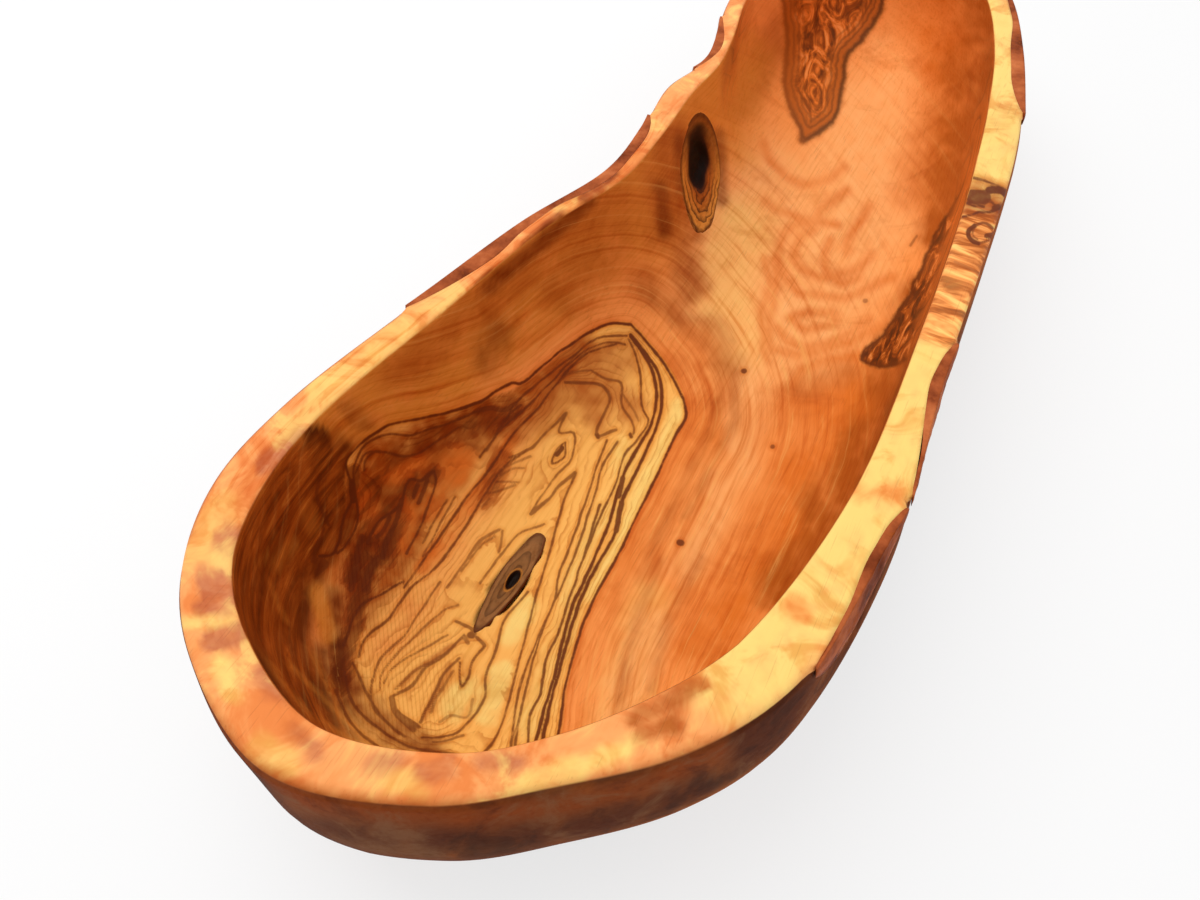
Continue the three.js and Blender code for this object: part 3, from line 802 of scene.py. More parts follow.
# %% Finer skin where the photograph shows much figure
HEART = 3
NO_LABEL = -1
LONGEST_EDGE = {OUTSIDE: 20, RIM: 8, INSIDE: 7.0, HEART: 4.5}
LONGEST_ON_LINE = 2.0
LINE_REACH = 3
HEART_MARGIN = 12
FINER_SWEEPS = 3
PICTURE_MARGIN = 20


def skin_points():
    """Places, pixels and surfaces of all the skin's points."""
    places = np.array([point.co for point in body.verts])
    return places, in_photo(places), np.array([point[surface_layer] for point in body.verts])


for sweep in range(FINER_SWEEPS):
    places, pixels, on_surface = skin_points()
    near_heart = (signed_distance(pixels, HEART_OUTLINE) > -HEART_MARGIN) & (on_surface == INSIDE)
    longest = np.array([LONGEST_EDGE[surface] for surface in np.where(near_heart, HEART, on_surface)])
    longest[lines_at(pixels, on_surface)[0] > -LINE_REACH] = LONGEST_ON_LINE
    pictured = ((pixels > -PICTURE_MARGIN) & (pixels < (PHOTO_WIDE, PHOTO_HIGH))).all(axis=1)
    body.verts.index_update()
    known = len(body.verts)
    long_edges = []
    for edge in body.edges:
        begin, stop = edge.verts[0].index, edge.verts[1].index
        allowed = min(longest[begin], longest[stop])
        if pictured[begin] and np.hypot(*(pixels[begin] - pixels[stop])) > allowed:
            long_edges.append(edge)
    bmesh.ops.subdivide_edges(body, edges=long_edges, cuts=1, use_grid_fill=True)
    body.verts.index_update()
    body.verts.ensure_lookup_table()
    unlabelled = [point for point in body.verts if point.index >= known]
    for point in unlabelled:
        point[surface_layer] = NO_LABEL
    while unlabelled:
        for point in unlabelled:
            beside = [edge.other_vert(point)[surface_layer] for edge in point.link_edges]
            point[surface_layer] = max(beside)
        unlabelled = [point for point in unlabelled if point[surface_layer] == NO_LABEL]
    print("sweep", sweep, "split", len(long_edges), "edges")
bmesh.ops.triangulate(body, faces=[face for face in body.faces if len(face.verts) > 4])
body.normal_update()
places, pixels, on_surface = skin_points()
inside = on_surface == INSIDE
line_edge, line_dark = lines_at(pixels, on_surface)
print("points on a growth line:", int((line_edge > 0).sum()))

# %% [markdown]
# Between the drawn lines lie many finer ones, and they follow their neighbours. The level of growth is
# like the height on a map: it is known on the drawn lines, and everywhere else it is made the mean of its
# surroundings, again and again, until it lies as smooth as a stretched sheet.

# %% Level of growth between the lines
MAP_LOW, MAP_HIGH, MAP_STEP = np.array([280, 300]), np.array([730, 850]), 3
MAP_SWEEPS = 900
OUTER_YEARS = 0.07  # levels to a pixel outside the heart

map_wide, map_high = (MAP_HIGH - MAP_LOW) // MAP_STEP
grid = np.stack(np.meshgrid(np.arange(map_wide), np.arange(map_high)), axis=-1).reshape(-1, 2)
grid = grid * MAP_STEP + MAP_LOW
level_map = (signed_distance(grid, HEART_OUTLINE) * OUTER_YEARS).reshape(map_high, map_wide)
set_cells = level_map < 0
for level, _, _, way in HEART_LINES:
    dense = smooth_curve(way, False, MAP_SPAN_STEPS)
    cells = ((dense - MAP_LOW) / MAP_STEP).round().astype(int)
    cells = cells[cells[:, 1] < map_high]
    level_map[cells[:, 1], cells[:, 0]] = level
    set_cells[cells[:, 1], cells[:, 0]] = True
fixed = level_map.copy()
for sweep in range(MAP_SWEEPS):
    framed = np.pad(level_map, 1, mode="edge")
    beside = framed[:-2, 1:-1] + framed[2:, 1:-1] + framed[1:-1, :-2] + framed[1:-1, 2:]
    level_map = np.where(set_cells, fixed, beside / 4)


def on_map(spots):
    """Level at pixels, read between the cells of the map."""
    cell = np.clip((spots - MAP_LOW) / MAP_STEP, 0, [map_wide - 1.001, map_high - 1.001])
    low = cell.astype(int)
    share = cell - low
    corner = [level_map[low[:, 1] + down, low[:, 0] + right] for down in (0, 1) for right in (0, 1)]
    upper = corner[0] + (corner[1] - corner[0]) * share[:, 0]
    lower = corner[2] + (corner[3] - corner[2]) * share[:, 0]
    return upper + (lower - upper) * share[:, 1]


closer = wavered(pixels, LINE_WAVER, LINE_WAVER_LENGTH)
heart = signed_distance(closer, HEART_OUTLINE)
growth = np.where(heart > 0, on_map(closer), heart * OUTER_YEARS)
print("levels of growth on the map:", level_map.min().round(1), "to", level_map.max().round(1))

# %% [markdown]
# Under the lines lies the wood's slow change of tone, from pale sapwood on the rim to red heartwood on
# the floor, with brown painted shade on the near wall. Painted shade also lies along the right wall under
# the mouth's edge, on the front rim's rounded edge and on the outside, with a painted highlight on the
# upper floor and painted light from the table low on the outside. It is all laid on like a stain, in
# strokes of a small palette, broad ones first, each on one surface of the skin.

# %% Palette
def linear(red, green, blue):
    """A colour as seen on a screen, 0 to 255, as the light that it stands for."""
    seen = np.array([red, green, blue]) / 255
    return np.where(seen < 0.04045, seen / 12.92, ((seen + 0.055) / 1.055) ** 2.4)


SAND = linear(254, 214, 122)
HONEY = linear(251, 196, 108)
PEACH = linear(254, 178, 108)
GOLD = linear(254, 186, 94)
AMBER = linear(250, 154, 78)
CARAMEL = linear(228, 146, 58)
COPPER = linear(224, 116, 38)
RUSSET = linear(180, 90, 26)
CHESTNUT = linear(134, 58, 10)
UMBER = linear(84, 32, 6)
COCOA = linear(42, 14, 4)
BLUSH = linear(252, 166, 98)
ROSE = linear(206, 122, 80)
EARTH = linear(128, 84, 54)
LOAM = linear(92, 52, 28)

# %% Strokes of tone: surface, colour, strength, half width, softness, and ways in pixels
WALL_TONES = [
    (INSIDE, CARAMEL, 0.95, 48, 40, [[(690, 90), (600, 200), (480, 310), (340, 430), (270, 530)]]),
    (INSIDE, COPPER, 0.8, 40, 40, [[(290, 500), (256, 570), (250, 660), (330, 750)]]),
    (INSIDE, RUSSET, 0.5, 12, 30, [[(640, 160), (590, 215), (480, 305), (400, 370)],
                                   [(650, 200), (560, 290)]]),
    (INSIDE, CHESTNUT, 0.85, 5, 8, [[(588, 202), (545, 240), (487, 288)]]),
    (INSIDE, CHESTNUT, 0.5, 8, 18, [[(500, 330), (488, 362)]]),
    (INSIDE, CHESTNUT, 0.45, 7, 10, [[(352, 408), (362, 422)]]),
    # painted shade: the near wall, turned from the lamp, darkened in chestnut
    (INSIDE, CHESTNUT, 0.95, 36, 40, [[(318, 490), (262, 560), (250, 640), (300, 720), (390, 760)]]),
    (INSIDE, UMBER, 0.95, 10, 7, [[(309, 436), (316, 460)]]),
    (INSIDE, UMBER, 0.8, 5, 7, [[(316, 460), (320, 500), (324, 525), (314, 552)], [(344, 450), (346, 462)],
                                [(349, 470), (350, 492), (343, 535), (330, 557), (316, 566)]]),
    (INSIDE, UMBER, 0.75, 8, 12, [[(306, 570), (299, 600), (292, 635)],
                                  [(318, 655), (326, 678), (350, 716)]]),
    (INSIDE, UMBER, 0.85, 6, 8, [[(333, 594), (336, 640), (338, 680), (352, 704), (391, 738)]]),
    (INSIDE, CARAMEL, 0.6, 5, 7, [[(308, 508), (312, 528)], [(292, 545), (278, 565)]]),
    (INSIDE, CARAMEL, 0.85, 6, 7, [[(316, 590), (324, 612), (328, 635)]]),
    (INSIDE, CARAMEL, 0.6, 1.5, 3, [[(270, 584), (286, 621)], [(254, 567), (267, 554)],
                                    [(240, 632), (278, 672)], [(310, 650), (331, 693)],
                                    [(289, 664), (347, 723), (400, 752)],
                                    [(262, 660), (310, 715), (370, 752)]]),
]
FLOOR_TONES = [
    # painted highlight: peach and honey make a pale sheen on the upper floor
    (INSIDE, PEACH, 0.85, 40, 55, [[(760, 200), (745, 290), (745, 350)],
                                   [(880, 110), (850, 220), (815, 310)]]),
    (INSIDE, HONEY, 0.5, 16, 34, [[(742, 225), (728, 290), (738, 345)]]),
    (INSIDE, COPPER, 0.7, 16, 40, [[(945, 0), (950, 110), (930, 190)]]),
    # painted shade: this copper stroke and the long russet stroke below darken the right wall under the
    # mouth's edge
    (INSIDE, COPPER, 0.8, 22, 40, [[(870, 385), (805, 470), (755, 570), (705, 640)]]),
    (INSIDE, RUSSET, 0.9, 14, 42, [[(992, -10), (978, 70), (966, 130), (948, 190)]]),
    (INSIDE, RUSSET, 0.95, 17, 18, [[(955, 190), (938, 235)],
                                    [(925, 300), (900, 350), (885, 390), (860, 440), (835, 490),
                                     (812, 537), (778, 580)]]),
    (INSIDE, RUSSET, 0.6, 10, 20, [[(800, 20), (760, 60), (745, 100)]]),
    (INSIDE, HONEY, 0.4, 14, 20, [[(650, 600), (610, 740)]]),
    (INSIDE, CARAMEL, 0.6, 18, 30, [[(640, 150), (660, 240)], [(735, 60), (725, 140)]]),
    (INSIDE, RUSSET, 0.75, 9, 18, [[(672, 130), (676, 185), (690, 232)], [(661, 185), (666, 238)],
                                   [(680, 255), (694, 285)]]),
    (INSIDE, CHESTNUT, 0.7, 4, 8, [[(680, 140), (683, 185)], [(661, 188), (665, 232)],
                                   [(718, 135), (722, 200)]]),
    (INSIDE, RUSSET, 0.55, 8, 16, [[(640, 281), (686, 320), (716, 335), (741, 368)],
                                   [(802, 382), (848, 372)]]),
    (INSIDE, COPPER, 0.6, 14, 25, [[(690, 350), (715, 385), (712, 430)],
                                   [(740, 430), (800, 405), (850, 400)]]),
    (INSIDE, COPPER, 0.5, 8, 14, [[(692, 400), (678, 450), (640, 530), (610, 600)],
                                  [(790, 520), (740, 590)]]),
    (INSIDE, PEACH, 0.6, 10, 22, [[(755, 390), (735, 460), (690, 560)], [(650, 630), (615, 720)]]),
]
FLOOR_SWIRLS = [
    (INSIDE, COPPER, 0.6, 2.2, 7.0, [
        [(764, 144), (769, 158), (787, 178), (805, 185), (830, 179), (844, 167)],
        [(764, 201), (778, 210), (801, 219), (817, 222), (837, 224)],
        [(817, 217), (821, 208), (835, 199), (847, 190)],
        [(814, 224), (796, 224), (784, 233), (778, 252), (778, 268), (798, 293), (846, 298), (892, 277)],
        [(814, 229), (800, 236), (794, 250), (796, 265), (821, 279), (860, 268), (872, 254)],
        [(830, 240), (824, 254), (826, 270), (842, 284), (858, 277)],
        [(870, 206), (860, 222), (847, 240), (847, 252)],
        [(764, 259), (771, 286), (760, 312), (765, 337), (764, 353), (769, 362)],
        [(773, 259), (777, 277), (771, 314), (769, 330), (771, 350)],
        [(789, 318), (810, 312), (835, 313), (835, 323), (805, 330), (789, 318)],
        [(778, 327), (787, 341), (805, 348), (828, 343), (851, 332), (870, 318)],
        [(775, 350), (796, 355), (824, 350), (851, 341), (879, 325)],
        [(792, 384), (801, 369), (824, 360), (860, 356)],
    ]),
    (INSIDE, RUSSET, 0.4, 3, 8, [
        [(650, 300), (690, 332), (712, 352), (722, 385), (712, 430), (690, 470), (662, 530), (640, 580)],
        [(670, 320), (706, 345), (732, 375), (735, 420), (712, 465), (686, 515)],
        [(660, 560), (640, 610), (626, 660), (618, 720)], [(700, 560), (668, 620), (652, 690)],
    ]),
]
HEART_TONES = [
    (HEART, AMBER, 0.45, 12, 26, [[(520, 440), (470, 515), (420, 600), (385, 650)]]),
    (HEART, RUSSET, 0.92, 22, 20, [[(565, 354), (500, 402), (455, 435), (430, 480), (395, 545), (350, 610)],
                                   [(430, 436), (385, 462), (362, 510), (352, 580)]]),
    (HEART, CHESTNUT, 0.55, 12, 18, [[(505, 414), (455, 428), (400, 455)],
                                     [(380, 495), (368, 550), (352, 610)]]),
    (HEART, COPPER, 0.7, 7, 10, [[(470, 455), (446, 485), (440, 512)], [(392, 470), (420, 463)],
                                 [(364, 496), (370, 522)], [(416, 512), (404, 540)]]),
    (HEART, COPPER, 0.7, 5, 6, [[(512, 440), (490, 475), (465, 512), (440, 545), (420, 568)]]),
    (HEART, RUSSET, 0.6, 6, 14, [[(585, 392), (600, 425)], [(545, 400), (515, 436)],
                                 [(500, 455), (485, 500)]]),
    (HEART, RUSSET, 0.6, 12, 22, [[(622, 352), (580, 382), (535, 418)], [(596, 392), (628, 408)]]),
    (HEART, SAND, 0.6, 8, 16, [[(632, 450), (596, 530), (560, 640), (532, 720)]]),
    (HEART, SAND, 0.8, 5, 7, [[(679, 405), (668, 436), (650, 475), (620, 540), (590, 595)]]),
    (HEART, SAND, 0.95, 9, 10, [[(499, 676), (490, 712)], [(518, 602), (508, 632)],
                                [(470, 692), (455, 706)]]),
    (HEART, RUSSET, 0.5, 2, 3, [[(450, 664), (438, 688), (424, 718)],
                                [(452, 646), (425, 664), (402, 684)]]),
    (HEART, CHESTNUT, 0.8, 10, 16, [[(340, 650), (354, 690), (376, 715), (391, 738), (430, 752)]]),
]
RIM_TONES = [
    (RIM, COPPER, 0.6, 9, 14, [[(640, 150), (520, 260), (440, 322)]]),
    (RIM, CHESTNUT, 0.8, 5, 6, [[(612, 172), (585, 198)], [(560, 218), (528, 246)],
                                [(492, 276), (482, 285)]]),
    (RIM, HONEY, 0.7, 14, 14, [[(430, 318), (330, 392)], [(225, 512), (205, 545)]]),
    (RIM, COPPER, 0.35, 8, 14, [[(320, 405), (250, 480), (225, 540)]]),
    (RIM, ROSE, 0.85, 10, 8, [[(296, 436), (270, 466)], [(222, 541), (228, 537)]]),
    (RIM, ROSE, 0.95, 13, 5, [[(212, 578), (206, 602)], [(216, 578), (216, 606)],
                              [(214, 641), (234, 641)]]),
    (RIM, SAND, 0.7, 5, 5, [[(180, 622), (230, 620)]]),
    (RIM, HONEY, 0.8, 10, 12, [[(262, 752), (285, 768)], [(385, 786), (415, 788)],
                               [(540, 782), (575, 772)]]),
    (RIM, SAND, 0.8, 8, 10, [[(590, 764), (622, 750)], [(225, 670), (238, 690)]]),
    (RIM, ROSE, 0.75, 7, 11, [[(268, 668), (280, 690)], [(300, 736), (318, 746)], [(375, 768), (395, 766)],
                              [(425, 772), (450, 766)], [(488, 764), (520, 762)]]),
    (RIM, SAND, 0.95, 40, 30, [[(985, 30), (985, 150)], [(915, 390), (870, 520), (760, 650), (735, 672)]]),
    (RIM, AMBER, 0.7, 7, 9, [[(860, 488), (898, 502)], [(800, 600), (810, 618)],
                             [(700, 686), (690, 682)]]),
    (RIM, RUSSET, 0.7, 8, 12, [[(632, 714), (660, 706), (695, 690)], [(640, 737), (672, 728)]]),
    # painted shade: the front rim's rounded outer edge, turning from the lamp, darkened in russet
    (RIM, RUSSET, 0.95, 5, 18, [[(194, 702), (238, 764), (310, 800), (400, 813), (480, 813), (560, 804),
                                 (640, 784), (720, 752)]]),
    (RIM, RUSSET, 0.75, 12, 8, [[(978, 186), (1000, 194)], [(972, 205), (998, 214)],
                                [(978, 228), (996, 232)]]),
    (RIM, CHESTNUT, 0.6, 4, 5, [[(960, 248), (985, 258)], [(968, 216), (1000, 212)]]),
]
OUTSIDE_TONES = [
    # painted shade: the front and right outside, turned from the lamp, darkened in loam and umber over the
    # outside's own brown
    (OUTSIDE, LOAM, 0.95, 60, 60, [[(200, 640), (330, 800), (560, 830), (760, 760)]]),
    (OUTSIDE, UMBER, 0.9, 40, 30, [[(780, 740), (850, 660), (925, 520), (960, 380)]]),
    # painted light from the table, paler earth brown low on the outside
    (OUTSIDE, EARTH, 0.8, 14, 30, [[(240, 770), (320, 825), (400, 850)]]),
    # painted shade under and on the front rim's rounded edge, in umber and chestnut
    (OUTSIDE, UMBER, 0.75, 6, 16, [[(300, 822), (400, 838), (560, 834), (700, 792)]]),
    (OUTSIDE, CHESTNUT, 0.95, 5, 15, [[(196, 700), (240, 765), (310, 802), (400, 815), (480, 815),
                                       (560, 806), (640, 786), (720, 752)]]),
]
TONES = WALL_TONES + FLOOR_TONES + FLOOR_SWIRLS + HEART_TONES + RIM_TONES + OUTSIDE_TONES
BASE_TONE = {INSIDE: AMBER, RIM: BLUSH, OUTSIDE: RUSSET, HEART: GOLD}
BROAD_WAVER, FINE_WAVER = (12, 45), (5, 13)
BROAD_STROKE = 6  # strokes wider than this waver more
SOAK_LENGTHS = ((30, 0.9), (9, 0.7))
SOAK_LEAST = 0.2
SOFT_INSIDE = 0.3  # share of a stroke's softness that lies inside its edge

soaked = np.full(len(pixels), SOAK_LEAST)
for length, amount in SOAK_LENGTHS:
    soaked += amount * waves_in(np.c_[pixels, np.zeros(len(pixels))], length)
burl = signed_distance(pixels, BURL_OUTLINE)
streak = signed_distance(pixels, WALL_STREAK)
loose = wavered(wavered(pixels, *BROAD_WAVER), *FINE_WAVER)


def painted(surface, there):
    """Tone of one surface at some of the skin's points, after all its strokes."""
    shades = np.tile(BASE_TONE[surface], (int(there.sum()), 1))
    for _, colour, strength, half_wide, soft, ways in [stroke for stroke in TONES if stroke[0] == surface]:
        spots = (loose if half_wide > BROAD_STROKE else closer)[there]
        away = np.min([way_distance(spots, way) for way in ways], axis=0)
        covered = smooth_step(half_wide + soft, half_wide - soft * SOFT_INSIDE, away)
        weight = np.minimum(strength * covered * soaked[there], 1)
        shades += weight[:, None] * (colour - shades)
    return shades


tone = np.zeros((len(pixels), 3))
for surface in (OUTSIDE, RIM, INSIDE):
    tone[on_surface == surface] = painted(surface, on_surface == surface)

SHARP_EDGE, BLURRED_EDGE = 1.2, 26  # the heart's edge runs out softly at its lower left
BLUR_RIGHT, BLUR_LEFT, BLUR_TOP, BLUR_FOOT = 430, 370, 520, 600
blurred = smooth_step(BLUR_RIGHT, BLUR_LEFT, pixels[:, 0]) * smooth_step(BLUR_TOP, BLUR_FOOT, pixels[:, 1])
edge_soft = SHARP_EDGE + (BLURRED_EDGE - SHARP_EDGE) * blurred
in_heart = smooth_step(-edge_soft, edge_soft, heart)
round_heart = inside & (in_heart > 0)
heart_share = in_heart[round_heart][:, None]
tone[round_heart] += heart_share * (painted(HEART, round_heart) - tone[round_heart])
print("mean tone:", tone.mean(axis=0).round(3))

# %% Masks for marks that the material draws
STAIN_WAYS = [  # half width, softness, strength and way
    (12, 12, 0.6, [(510, 407), (480, 420), (450, 432), (420, 447)]),
    (9, 12, 0.8, [(432, 474), (416, 480), (400, 500), (385, 520), (366, 545), (352, 575)]),
    (8, 10, 0.8, [(402, 512), (392, 535), (384, 560)]),
    (8, 10, 0.9, [(371, 563), (358, 600), (350, 640), (340, 684)]),
    (5, 8, 0.95, [(353, 472), (353, 507), (343, 540)]),
    (9, 14, 0.6, [(400, 455), (370, 480), (364, 520)]),
    (8, 12, 0.6, [(502, 458), (490, 500)]),
]
MARK_BANDS = {  # outer and inner reach of a band, and its way
    # the near wall's band carries its grain and painted shade
    "near_wall_grain_and_shade": (70, 35, [(318, 490), (262, 560), (250, 640), (300, 720), (400, 765)]),
    "gouged": (75, 35, [(375, 590), (405, 690)]),
    "striped": (40, 22, [(975, 240), (950, 318)]),
    "grained": (45, 20, [(640, 140), (430, 310), (250, 470)]),
}
MARK_GROUNDS = {"near_wall_grain_and_shade": inside * (1 - in_heart), "gouged": (heart > 0) * inside,
                "striped": on_surface == RIM, "grained": on_surface == RIM}

stained = np.zeros(len(pixels))
for half_wide, soft, strength, way in STAIN_WAYS:
    weight = smooth_step(half_wide + soft, half_wide - soft * SOFT_INSIDE, way_distance(closer, way))
    stained = np.maximum(stained, strength * weight * inside)
marks = {"stained": stained}
for name, (outer, inner, way) in MARK_BANDS.items():
    marks[name] = smooth_step(outer, inner, way_distance(pixels, way)) * MARK_GROUNDS[name]
for name, mask in marks.items():
    print("points that are", name, int((mask > 0.5).sum()))

# %% Which points the photograph can show
normals = np.array([point.normal for point in body.verts])
to_eye = np.array(EYE) - places
to_eye /= np.linalg.norm(to_eye, axis=1)[:, None]
HIDDEN_TURN, SHOWN_TURN = 0.02, 0.25
shown = smooth_step(HIDDEN_TURN, SHOWN_TURN, (normals * to_eye).sum(axis=1))
print("share of the skin that faces the photograph:", round(float((shown > 0.5).mean()), 2))

# %% Keep the figure on the skin's points
bowl = finish_piece("bowl_wood", body, "bowl_body")


def keep_colour(mesh, name, colours):
    layer = mesh.attributes.new(name, "FLOAT_COLOR", "POINT")
    layer.data.foreach_set("color", np.c_[colours, np.ones(len(colours))].astype(np.float32).ravel())


FAR_OUT = -200
PICTURE_UNIT = 100  # pixels to one unit of the picture map
marks.update(line_edge=line_edge, line_dark=line_dark, growth=growth, shown=shown, inside=inside,
             rim=on_surface == RIM, outside=on_surface == OUTSIDE)
for name, distance in (("heart", heart), ("burl", burl), ("streak", streak)):
    marks[name] = np.where(inside, distance, FAR_OUT)
for name, values in marks.items():
    keep_value(bowl.data, name, values)
keep_colour(bowl.data, "tone", tone)
picture_map = bowl.data.uv_layers.new(name="picture")
corner_points = np.zeros(len(bowl.data.loops), np.int32)
bowl.data.loops.foreach_get("vertex_index", corner_points)
picture_map.data.foreach_set("uv", (pixels[corner_points] / PICTURE_UNIT).astype(np.float32).ravel())
print("marks kept:", sorted(marks))

# %% [markdown]
# ## Node helpers
# Shaders are graphs. Small helpers keep them readable: they add nodes and feed them, do sums, mix and
# darken colours, read the marks kept on the skin, and start and finish a material.

# %% Helpers for shader graphs
def feed(tree, node, feeds):
    """Feeds a node's inputs: sockets are linked, values are set."""
    for name, value in feeds.items():
        if isinstance(value, bpy.types.NodeSocket):
            tree.links.new(value, node.inputs[name])
        else:
            node.inputs[name].default_value = value


def add_node(tree, kind, feeds=None, **settings):
    """New node with its settings and feeds."""
    made = tree.nodes.new("ShaderNode" + kind)
    for name, value in settings.items():
        setattr(made, name, value)
    feed(tree, made, feeds or {})
    return made


def sums(tree, operation, first, second=0.0, third=0.0):
    return add_node(tree, "Math", {0: first, 1: second, 2: third}, operation=operation).outputs[0]


def product(tree, first, *others):
    for other in others:
        first = sums(tree, "MULTIPLY", first, other)
    return first


def step_up(tree, value, low, high):
    """0 below low, 1 above high, smooth between."""
    feeds = {"Value": value, "From Min": low, "From Max": high}
    made = add_node(tree, "MapRange", feeds, interpolation_type="SMOOTHSTEP")
    return made.outputs["Result"]


def colour_of(shade):
    """A written colour with its alpha, or a socket as it is."""
    return shade if isinstance(shade, bpy.types.NodeSocket) else (*shade, 1.0)


def mixed(tree, share, first, second, way="MIX"):
    feeds = {0: share, 6: colour_of(first), 7: colour_of(second)}
    return add_node(tree, "Mix", feeds, data_type="RGBA", blend_type=way).outputs[2]


def darker(tree, share, colour, factors):
    """The colour, made darker by a factor for each channel."""
    return mixed(tree, share, colour, mixed(tree, 1.0, colour, factors, "MULTIPLY"))


def mark(tree, name):
    """A value kept on the skin's points."""
    return add_node(tree, "Attribute", attribute_name=name).outputs["Fac"]


def ramp(tree, value, stops):
    """Grey or coloured stops along a value from 0 to 1."""
    made = add_node(tree, "ValToRGB", {"Fac": value})
    elements = made.color_ramp.elements
    while len(elements) < len(stops):
        elements.new(0.5)
    for element, (place, shade) in zip(elements, stops):
        element.position = place
        element.color = (shade, shade, shade, 1) if isinstance(shade, (int, float)) else colour_of(shade)
    return made.outputs["Color"]


def noise_at(tree, vector, scale, detail=3.0, rough=0.5, distort=0.0):
    feeds = {"Vector": vector, "Scale": scale, "Detail": detail, "Roughness": rough, "Distortion": distort}
    return add_node(tree, "TexNoise", feeds).outputs["Fac"]


def stretched(tree, vector, scale):
    return add_node(tree, "Mapping", {"Vector": vector, "Scale": scale}).outputs["Vector"]


def turned(tree, vector, angle):
    return add_node(tree, "Mapping", {"Vector": vector, "Rotation": (0, 0, angle)}).outputs["Vector"]


def new_group(name, inputs, outputs):
    """Empty shader group with named sockets; gives its tree, its input node and its output node."""
    tree = bpy.data.node_groups.new(name, "ShaderNodeTree")
    for socket, kind, value in inputs:
        made = tree.interface.new_socket(socket, in_out="INPUT", socket_type="NodeSocket" + kind)
        if value is not None:
            made.default_value = value
    for socket, kind in outputs:
        tree.interface.new_socket(socket, in_out="OUTPUT", socket_type="NodeSocket" + kind)
    return tree, tree.nodes.new("NodeGroupInput"), tree.nodes.new("NodeGroupOutput")


def use_group(tree, group, feeds):
    return add_node(tree, "Group", feeds, node_tree=group).outputs


def new_material(name):
    """New material; gives it with its tree and its shader."""
    made = bpy.data.materials.new(name)
    made.use_nodes = True
    return made, made.node_tree, made.node_tree.nodes["Principled BSDF"]


def dress(tree, shader, colour, roughness, relief, relief_strength, relief_deep, gloss):
    """Feeds a shader its colour, its roughness, a fine relief and its gloss."""
    bump = add_node(tree, "Bump", {"Height": relief, "Strength": relief_strength, "Distance": relief_deep})
    feed(tree, shader, {"Base Color": colour, "Roughness": roughness, "Normal": bump.outputs["Normal"],
                        "Specular IOR Level": gloss})


def seen_plainly(tree):
    """1 on rays that come from the camera, from a reflection or through clear stuff."""
    ray = add_node(tree, "LightPath").outputs
    seen = sums(tree, "MAXIMUM", ray["Is Camera Ray"], ray["Is Glossy Ray"])
    return sums(tree, "MAXIMUM", seen, ray["Is Transmission Ray"])


print("helpers ready")

# %% [markdown]
# ## Fibre, shared by the wood and the knots
# All wood is a bundle of fibres along the trunk. Noise stretched along the length gives the fine streaks,
# and the darkest part of a finer one gives the pores.

# %% Fibre group
fibre_group, entry, leave = new_group(
    "wood_fibre",
    [("Vector", "Vector", None), ("Along", "Float", 45.0), ("Across", "Float", 900.0)],
    [("Streak", "Float"), ("Pores", "Float")],
)
scale = add_node(fibre_group, "CombineXYZ", {"X": entry.outputs["Along"], "Y": entry.outputs["Across"],
                                             "Z": entry.outputs["Across"]}).outputs[0]
drawn = add_node(fibre_group, "VectorMath", {0: entry.outputs["Vector"], 1: scale}, operation="MULTIPLY")
streaks = noise_at(fibre_group, drawn.outputs[0], 1.0, 4.0, 0.6)
pore_noise = noise_at(fibre_group, drawn.outputs[0], 2.6, 1.0)
fibre_group.links.new(streaks, leave.inputs["Streak"])
fibre_group.links.new(step_up(fibre_group, pore_noise, 0.36, 0.26), leave.inputs["Pores"])
print("group:", fibre_group.name)

# %% [markdown]
# ## Growth lines, shared by the heart, the floor, the hidden wood and the knots
# A growth line is a thin dark band at a set distance from an outline. The group wobbles a distance with
# noise, then draws even thin lines on it, dark on one side and fading on the other, as late wood does.

# %% Growth line group
ring_group, entry, leave = new_group(
    "growth_lines",
    [("Vector", "Vector", None), ("Distance", "Float", 0.0), ("Spacing", "Float", 10.0),
     ("Wobble", "Float", 4.0), ("Wobble scale", "Float", 3.0), ("Width", "Float", 0.25)],
    [("Line", "Float")],
)
given = entry.outputs
ring_noise = noise_at(ring_group, given["Vector"], given["Wobble scale"], 3.0, 0.55)
ring_wobble = product(ring_group, sums(ring_group, "SUBTRACT", ring_noise, 0.5), given["Wobble"])
ring_way = sums(ring_group, "ADD", given["Distance"], ring_wobble)
ring_share = sums(ring_group, "FRACT", sums(ring_group, "DIVIDE", ring_way, given["Spacing"]))
ring_edge = sums(ring_group, "SUBTRACT", 1.0, given["Width"])
ring_band = step_up(ring_group, ring_share, ring_edge, 0.97)
ring_fade = step_up(ring_group, ring_share, 1.0, 0.95)
ring_group.links.new(product(ring_group, ring_band, ring_fade), leave.inputs["Line"])
print("group:", ring_group.name)

# %% [markdown]
# ## Olive wood
# The order is the order of nature: the slow tone, the fibres, then the lines of growth, the burl and the
# streak, the rim's mottling, and last the wood that the photograph doesn't show, which has a figure of
# its own.

# %% Olive wood, tone and fibres
olive, tree, shader = new_material("olive_wood_oiled")
place = add_node(tree, "TexCoord").outputs["Object"]
picture = add_node(tree, "UVMap", uv_map="picture").outputs["UV"]
tone_colour = add_node(tree, "Attribute", attribute_name="tone").outputs["Color"]
fibre = use_group(tree, fibre_group, {"Vector": place, "Along": 40.0, "Across": 900.0})
cloud = noise_at(tree, place, 45.0, 4.0, 0.6, 0.8)
wood = darker(tree, step_up(tree, cloud, 0.5, 0.75), tone_colour, (0.86, 0.76, 0.64))
fibre_seen = sums(tree, "MULTIPLY_ADD", mark(tree, "rim"), -0.8, 1.0)
fibre_dark = product(tree, step_up(tree, fibre["Streak"], 0.45, 0.75), fibre_seen)
wood = darker(tree, fibre_dark, wood, (0.9, 0.82, 0.7))

